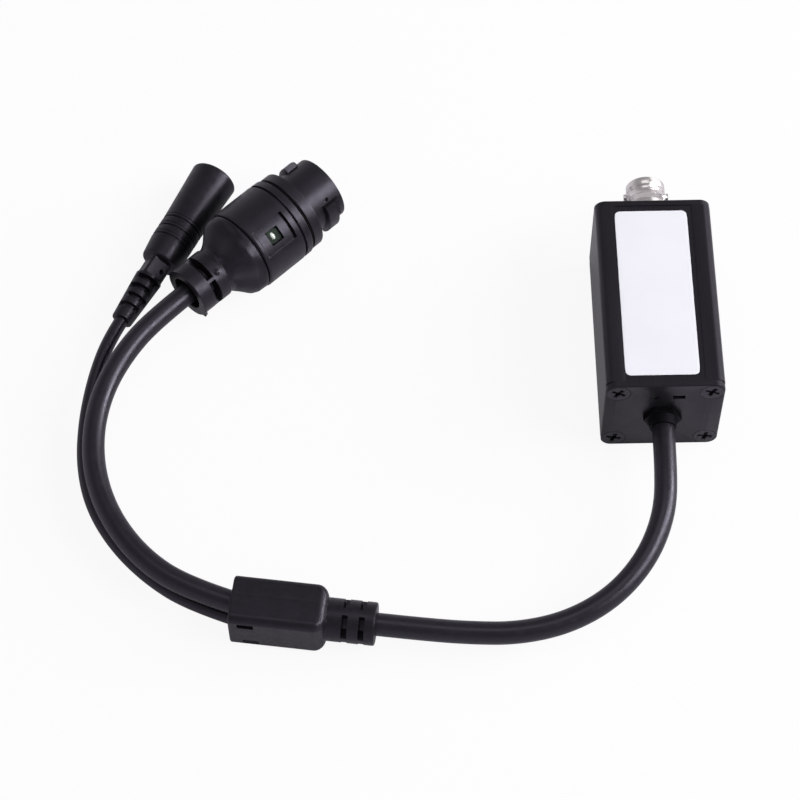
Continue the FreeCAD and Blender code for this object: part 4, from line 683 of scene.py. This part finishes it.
class CONVERTER_OT_network_socket(bpy.types.Operator):
    """Mould the network socket's shell and boot, and dress what they hold"""
    bl_idname = "converter.network_socket"
    bl_label = "Network socket"

    def execute(self, context):
        sizes = context.scene.converter_mouldings
        self.shell(sizes.window_flat / MM)
        self.boot(sizes.boot_pinch / MM)
        for node in ("network_insert", "network_contacts", "network_seal"):
            smooth_copy(node)
        self.window(sizes.window_flat / MM)
        return {"FINISHED"}

    def window(self, flat):
        """A sunken square pane and the oval light on it, as rings that rise out of the window."""
        angles = circle_angles(96)
        normal = math.radians(WINDOW_TURN)
        middle = 23.5

        def raised(across, side, height):
            """Points from sizes along the axis, round it and out from it, about the window's middle."""
            return np.stack([middle + across, height * math.cos(normal) + side * math.sin(normal),
                             height * math.sin(normal) - side * math.cos(normal)], axis=-1)

        pane = []
        for half, height in ((1.68, -0.75), (1.68, -0.35), (1.6, -0.28), (1.3, -0.26), (0.6, -0.26)):
            reach = box_radius(angles, half, half, 0.35 * half)
            level = flat + height + 0 * angles
            pane.append(raised(reach * np.cos(angles), reach * np.sin(angles), level))
        piece = grid_piece("window_pane", np.array(pane), NETWORK_PLACE, "light_window")
        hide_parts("network_window")
        half_long, half_wide, rise, sunk = 0.55, 0.95, 0.42, 0.3
        forward, aside = -0.3, 0.15
        dome = [raised(forward + half_long * math.cos(turn) * np.cos(angles),
                       aside + half_wide * math.cos(turn) * np.sin(angles),
                       flat - sunk + rise * math.sin(turn) + 0 * angles)
                for turn in np.linspace(0.0, 1.45, 12)]
        grid_piece("window_light", np.array(dome), NETWORK_PLACE, "light_lens")

    def shell(self, flat):
        """Body, ring grooves, flange and barrel turned as one loop, with the lugs raised, a panel
        and a step sunk about the window, and the window's seat cut into the panel."""
        angles = circle_angles(360)
        body, groove, flange, barrel, bore, lug = 11.0, 9.84, 10.6, 8.35, 7.45, 9.6
        stop_height, hole_depth, step_depth, panel_depth = 0.7, 0.7, 1.1, 0.14
        seat_depth = body - flat + 0.3
        outside = softened([
            (18.0, 9.0), (18.0, 10.72), (18.35, body), (29.7, body), (29.75, 10.3), (30.35, 10.3),
            (30.4, 10.95), (32.35, 10.9), (32.4, groove), (33.16, groove), (33.2, flange),
            (35.9, flange), (35.9, barrel), (45.4, barrel), (45.4, 7.5)], 0.14)
        inside = np.array([(45.2, bore), (30.0, bore), (30.0, 9.0)])
        along, radius = turned_rows(divided(np.concatenate([outside, inside]), 0.22), angles)
        outer = radius > 7.8
        for centre in (6.0, 186.0):
            turn = near_angle(angles, centre)
            share = patch(along, 39.5, 42.7, 0.3, turn, -38, 38, 2.0)
            radius = np.where(outer, radius + (lug - barrel) * share * (along > 36.5), radius)
            stop = patch(along, 42.7, 43.9, 0.2, turn, -38, -14, 2.0)
            radius = np.where(outer, radius + stop_height * stop, radius)
        hole = spot_distance(along, angles, 41.2, 140.5, barrel)
        radius = np.where(outer, radius - hole_depth * (1 - eased(hole, 0.3, 0.5)), radius)
        turn = near_angle(angles, WINDOW_TURN)
        step = patch(along, 27.65, 28.35, 0.08, turn, -20, 19, 0.8)
        radius = radius - step_depth * step * (radius > 10.0)
        panel = patch(along, 19.3, 27.7, 0.12, turn, -19, 19, 0.8)
        radius = radius - panel_depth * panel
        aside = radius * np.sin(np.radians(turn))
        seat = patch(along, 21.8, 25.2, 0.1, aside, -1.7, 1.7, 0.1) * (np.abs(turn) < 60)
        radius = radius - seat_depth * seat
        piece = grid_piece("socket_shell", rows_to_points(along, radius, angles), NETWORK_PLACE,
                           "hard_moulding", looped=True)
        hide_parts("network_shell")

    def boot(self, pinch):
        """A turned boot whose shoulder is pinched in at four places, with a slotted relief, a
        nub on it and a torn edge at its rear."""
        angles = circle_angles(288)
        slope = np.linspace(0.0, 1.0, 26)
        neck, shoulder, relief, core, bore = 6.25, 10.7, 6.6, 3.5, 8.9
        ridge_height, nub_height, torn_height = 0.3, 0.35, 0.75
        curve = np.stack([9.7 + 6.3 * slope, neck + (shoulder - neck) * eased(slope, -0.08, 0.95)],
                         axis=-1)
        rear = softened([(2.5, 4.3), (0.0, 4.4), (0.0, relief), (8.8, relief), (8.95, 6.2),
                         (9.35, 6.2)], 0.16)
        front = softened([curve[-1], (17.45, 10.75), (17.6, 10.3), (18.0, 10.3), (18.0, bore),
                          (30.0, bore)], 0.15)
        profile = divided(np.concatenate([rear, curve[:-1], front]), 0.2)
        along, radius = turned_rows(profile, angles)
        hollow = 0.5 + 0.5 * np.cos(4 * np.radians(near_angle(angles, 173.0)))
        radius = radius - pinch * hollow ** 1.5 * band(along, 11.4, 15.4, 1.8)
        ridge = np.exp(-(near_angle(4 * angles, 4 * 128.0) / 34.0) ** 2) * band(along, 11.0, 13.4, 1.5)
        radius = radius + ridge_height * ridge
        radius = slots(along, radius, angles, 4.0, 1.6, core, (83.0, 173.0, 263.0, 353.0), 78.0)
        nub = spot_distance(along, angles, 7.2, 122.0, relief)
        radius = radius + nub_height * np.exp(-(nub / 0.55) ** 2)
        turn = near_angle(angles, 206.0)
        torn = patch(along, 0.0, 0.5, 0.25, turn, -8, 9, 3) * (radius > 5.0)
        radius = radius + torn_height * torn * (0.65 + 0.35 * np.sin(np.radians(turn) * 31))
        piece = grid_piece("socket_boot", rows_to_points(along, radius, angles), NETWORK_PLACE,
                           "soft_moulding")
        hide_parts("network_boot")


class CONVERTER_OT_power_jack(bpy.types.Operator):
    """Mould the power jack and dress its insert, pin and spring"""
    bl_idname = "converter.power_jack"
    bl_label = "Power jack"

    def execute(self, context):
        self.moulding()
        for node in ("power_insert", "power_pin", "power_spring"):
            smooth_copy(node)
        return {"FINISHED"}

    def moulding(self):
        """A turned moulding: slotted relief cone, neck with four flats, collar, ribs and barrel."""
        angles = circle_angles(288)
        rib, rib_gap, rib_side, neck_flat, mouth = 5.3, 4.9, 5.12, 2.8, 4.35
        first_slot, slot_step, slot_width, core, hole_depth = 2.8, 2.9, 1.2, 2.05, 1.1
        outline = [(0.0, 1.5), (0.0, 2.65), (13.6, 3.5), (13.9, 3.6), (18.6, 3.6), (18.9, 4.65),
                   (19.4, 4.8), (23.9, 5.25)]
        for start in (24.3, 27.1, 29.9):
            outline += [(start, rib), (start + 0.1, rib_gap), (start + 0.55, rib_gap),
                        (start + 0.65, rib), (start + 1.15, rib), (start + 1.2, rib_side),
                        (start + 1.4, rib_side), (start + 1.45, rib)]
        outline += [(47.35, 6.0), (47.8, 5.6), (47.8, mouth), (34.0, mouth), (34.0, 0.4)]
        profile = divided(softened(outline, 0.22), 0.22)
        along, radius = turned_rows(profile, angles)
        outer = np.arange(len(profile))[:, None] <= np.argmax(profile[:, 0])
        neck = band(along, 13.7, 18.5, 0.15) * outer
        for normal in (34.0, 124.0, 214.0, 304.0):
            radius = flat_cut(radius, angles, normal, neck_flat, neck)
        for number in range(4):
            centre = 92.0 + 24.0 * (number % 2)
            cut = slots(along, radius, angles, first_slot + slot_step * number, slot_width, core,
                        (centre, centre + 180.0), 138.0)
            radius = np.where(outer, cut, radius)
        hole = spot_distance(along, angles, 15.9, 147.0, neck_flat)
        radius = np.where(outer, radius - hole_depth * (1 - eased(hole, 0.42, 0.56)), radius)
        piece = grid_piece("power_moulding", rows_to_points(along, radius, angles), POWER_PLACE,
                           "soft_moulding")
        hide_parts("power_overmould")


class CONVERTER_OT_cords(bpy.types.Operator):
    """Lay the three cords along their routes"""
    bl_idname = "converter.cords"
    bl_label = "Cords"

    def execute(self, context):
        sizes = context.scene.converter_cords
        main = cord_curve("main_cord", MAIN_ROUTE, sizes.main, "main_cable")
        network = cord_curve("network_cord", NETWORK_ROUTE, sizes.network, "network_cable")
        power = cord_curve("power_cord", POWER_ROUTE, sizes.power, "power_cable")
        return {"FINISHED"}


class CONVERTER_OT_studio(bpy.types.Operator):
    """Set up the floor, the soft lamps, the world and the camera"""
    bl_idname = "converter.studio"
    bl_label = "Studio"

    def execute(self, context):
        studio = context.scene.converter_studio
        self.camera(context, studio)
        self.floor()
        self.world(context, studio.world_level)
        for name, place, size, radiance in LAMPS:
            self.lamp(context, name, place, size, radiance * studio.lamp_level)
        context.scene.view_settings.view_transform = "Standard"
        return {"FINISHED"}

    def camera(self, context, studio):
        """A camera that looks down by its pitch, then turns by its roll about its view."""
        down, roll = studio.pitch, studio.roll
        forward = Vector((0.0, math.cos(down), -math.sin(down)))
        right = Vector((1.0, 0.0, 0.0))
        up = right.cross(forward)
        side = right * math.cos(roll) + up * math.sin(roll)
        top = up * math.cos(roll) - right * math.sin(roll)
        data = bpy.data.cameras.new("camera")
        data.lens = studio.lens
        data.sensor_width = SENSOR_WIDTH
        data.clip_start = 0.01
        data.clip_end = 10.0
        camera = bpy.data.objects.new("camera", data)
        camera.matrix_world = Matrix((
            (side.x, top.x, -forward.x, studio.place[0]),
            (side.y, top.y, -forward.y, studio.place[1]),
            (side.z, top.z, -forward.z, studio.place[2]),
            (0, 0, 0, 1)))
        context.scene.collection.objects.link(camera)
        context.scene.camera = camera

    def floor(self):
        """A wide pale floor that shows white to the camera and keeps the object's shadow."""
        half = 4.0
        mesh = bpy.data.meshes.new("floor")
        mesh.from_pydata([(-half, -half, 0), (half, -half, 0), (half, half, 0), (-half, half, 0)], [],
                         [(0, 1, 2, 3)])
        floor = bpy.data.objects.new("floor", mesh)
        material = bpy.data.materials.new("studio_floor")
        material.use_nodes = True
        tree = material.node_tree
        shader = tree.nodes["Principled BSDF"]
        shader.inputs["Base Color"].default_value = (0.58, 0.56, 0.62, 1.0)
        shader.inputs["Roughness"].default_value = 0.9
        shader.inputs["Specular IOR Level"].default_value = 0.1
        glow = tree.nodes.new("ShaderNodeEmission")
        glow.inputs["Color"].default_value = (1.0, 1.0, 1.0, 1.0)
        glow.inputs["Strength"].default_value = 1.06
        mix = tree.nodes.new("ShaderNodeMixShader")
        path = tree.nodes.new("ShaderNodeLightPath")
        share = None
        for ray, part in (("Is Camera Ray", 0.86), ("Is Glossy Ray", 0.15),
                          ("Is Transmission Ray", 0.3)):
            weight = tree.nodes.new("ShaderNodeMath")
            weight.operation = "MULTIPLY_ADD"
            weight.inputs[1].default_value = part
            weight.inputs[2].default_value = 0.0
            tree.links.new(path.outputs[ray], weight.inputs[0])
            if share:
                tree.links.new(share, weight.inputs[2])
            share = weight.outputs[0]
        tree.links.new(share, mix.inputs["Fac"])
        tree.links.new(shader.outputs["BSDF"], mix.inputs[1])
        tree.links.new(glow.outputs["Emission"], mix.inputs[2])
        tree.links.new(mix.outputs["Shader"], tree.nodes["Material Output"].inputs["Surface"])
        mesh.materials.append(material)
        bpy.context.scene.collection.objects.link(floor)

    def world(self, context, zenith):
        """A sky that falls evenly with height to its zenith level, and is white to the camera."""
        world = bpy.data.worlds.new("studio_world")
        world.use_nodes = True
        tree = world.node_tree
        background = tree.nodes["Background"]
        background.inputs["Color"].default_value = (0.96, 0.94, 1.0, 1.0)
        direction = tree.nodes.new("ShaderNodeTexCoord")
        parts = tree.nodes.new("ShaderNodeSeparateXYZ")
        fall = tree.nodes.new("ShaderNodeMapRange")
        for socket, number in (("From Min", 0.08), ("From Max", 0.6), ("To Min", 0.6), ("To Max", zenith)):
            fall.inputs[socket].default_value = number
        tree.links.new(direction.outputs["Generated"], parts.inputs["Vector"])
        tree.links.new(parts.outputs["Z"], fall.inputs["Value"])
        seen = tree.nodes.new("ShaderNodeLightPath")
        level = tree.nodes.new("ShaderNodeMath")
        level.operation = "MAXIMUM"
        tree.links.new(fall.outputs["Result"], level.inputs[0])
        tree.links.new(seen.outputs["Is Camera Ray"], level.inputs[1])
        tree.links.new(level.outputs["Value"], background.inputs["Strength"])
        context.scene.world = world

    def lamp(self, context, name, place, size, radiance):
        """A rectangular soft lamp that faces the object; its power is pi times area times radiance."""
        data = bpy.data.lights.new(name, "AREA")
        data.shape = "RECTANGLE"
        data.size, data.size_y = size
        data.energy = math.pi * size[0] * size[1] * radiance
        lamp = bpy.data.objects.new(name, data)
        lamp.location = place
        lamp.rotation_mode = "QUATERNION"
        lamp.rotation_quaternion = (LAMP_TARGET - Vector(place)).to_track_quat("-Z", "Y")
        context.scene.collection.objects.link(lamp)


class CONVERTER_PT_panel(bpy.types.Panel):
    """Lists the steps that dress the converter"""
    bl_idname = "CONVERTER_PT_panel"
    bl_label = "Video signal converter"
    bl_space_type = "VIEW_3D"
    bl_region_type = "UI"
    bl_category = "Converter"

    def draw(self, context):
        for step in STEPS:
            self.layout.operator(step.bl_idname)
        for name in GROUPS:
            group = getattr(context.scene, name)
            for key in group.__annotations__:
                self.layout.prop(group, key)


GROUPS = {"converter_cords": CordSizes, "converter_mouldings": MouldingSizes,
          "converter_colours": FinishColours, "converter_studio": StudioSettings}
STEPS = (CONVERTER_OT_finishes, CONVERTER_OT_housing, CONVERTER_OT_gland, CONVERTER_OT_coax_jack,
         CONVERTER_OT_splitter, CONVERTER_OT_network_socket, CONVERTER_OT_power_jack,
         CONVERTER_OT_cords, CONVERTER_OT_studio)


def register():
    """Add the settings, the steps and the panel to Blender."""
    for group in GROUPS.values():
        bpy.utils.register_class(group)
    for name, group in GROUPS.items():
        setattr(bpy.types.Scene, name, bpy.props.PointerProperty(type=group))
    for step in STEPS:
        bpy.utils.register_class(step)
    bpy.utils.register_class(CONVERTER_PT_panel)


def unregister():
    """Take the panel, the steps and the settings out of Blender again."""
    bpy.utils.unregister_class(CONVERTER_PT_panel)
    for step in reversed(STEPS):
        bpy.utils.unregister_class(step)
    for name, group in GROUPS.items():
        delattr(bpy.types.Scene, name)
        bpy.utils.unregister_class(group)


def main():
    """Run every step in order."""
    register()
    bpy.ops.converter.finishes()
    bpy.ops.converter.housing()
    bpy.ops.converter.gland()
    bpy.ops.converter.coax_jack()
    bpy.ops.converter.splitter()
    bpy.ops.converter.network_socket()
    bpy.ops.converter.power_jack()
    bpy.ops.converter.cords()
    bpy.ops.converter.studio()
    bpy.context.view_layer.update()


if __name__ == "__main__":
    main()
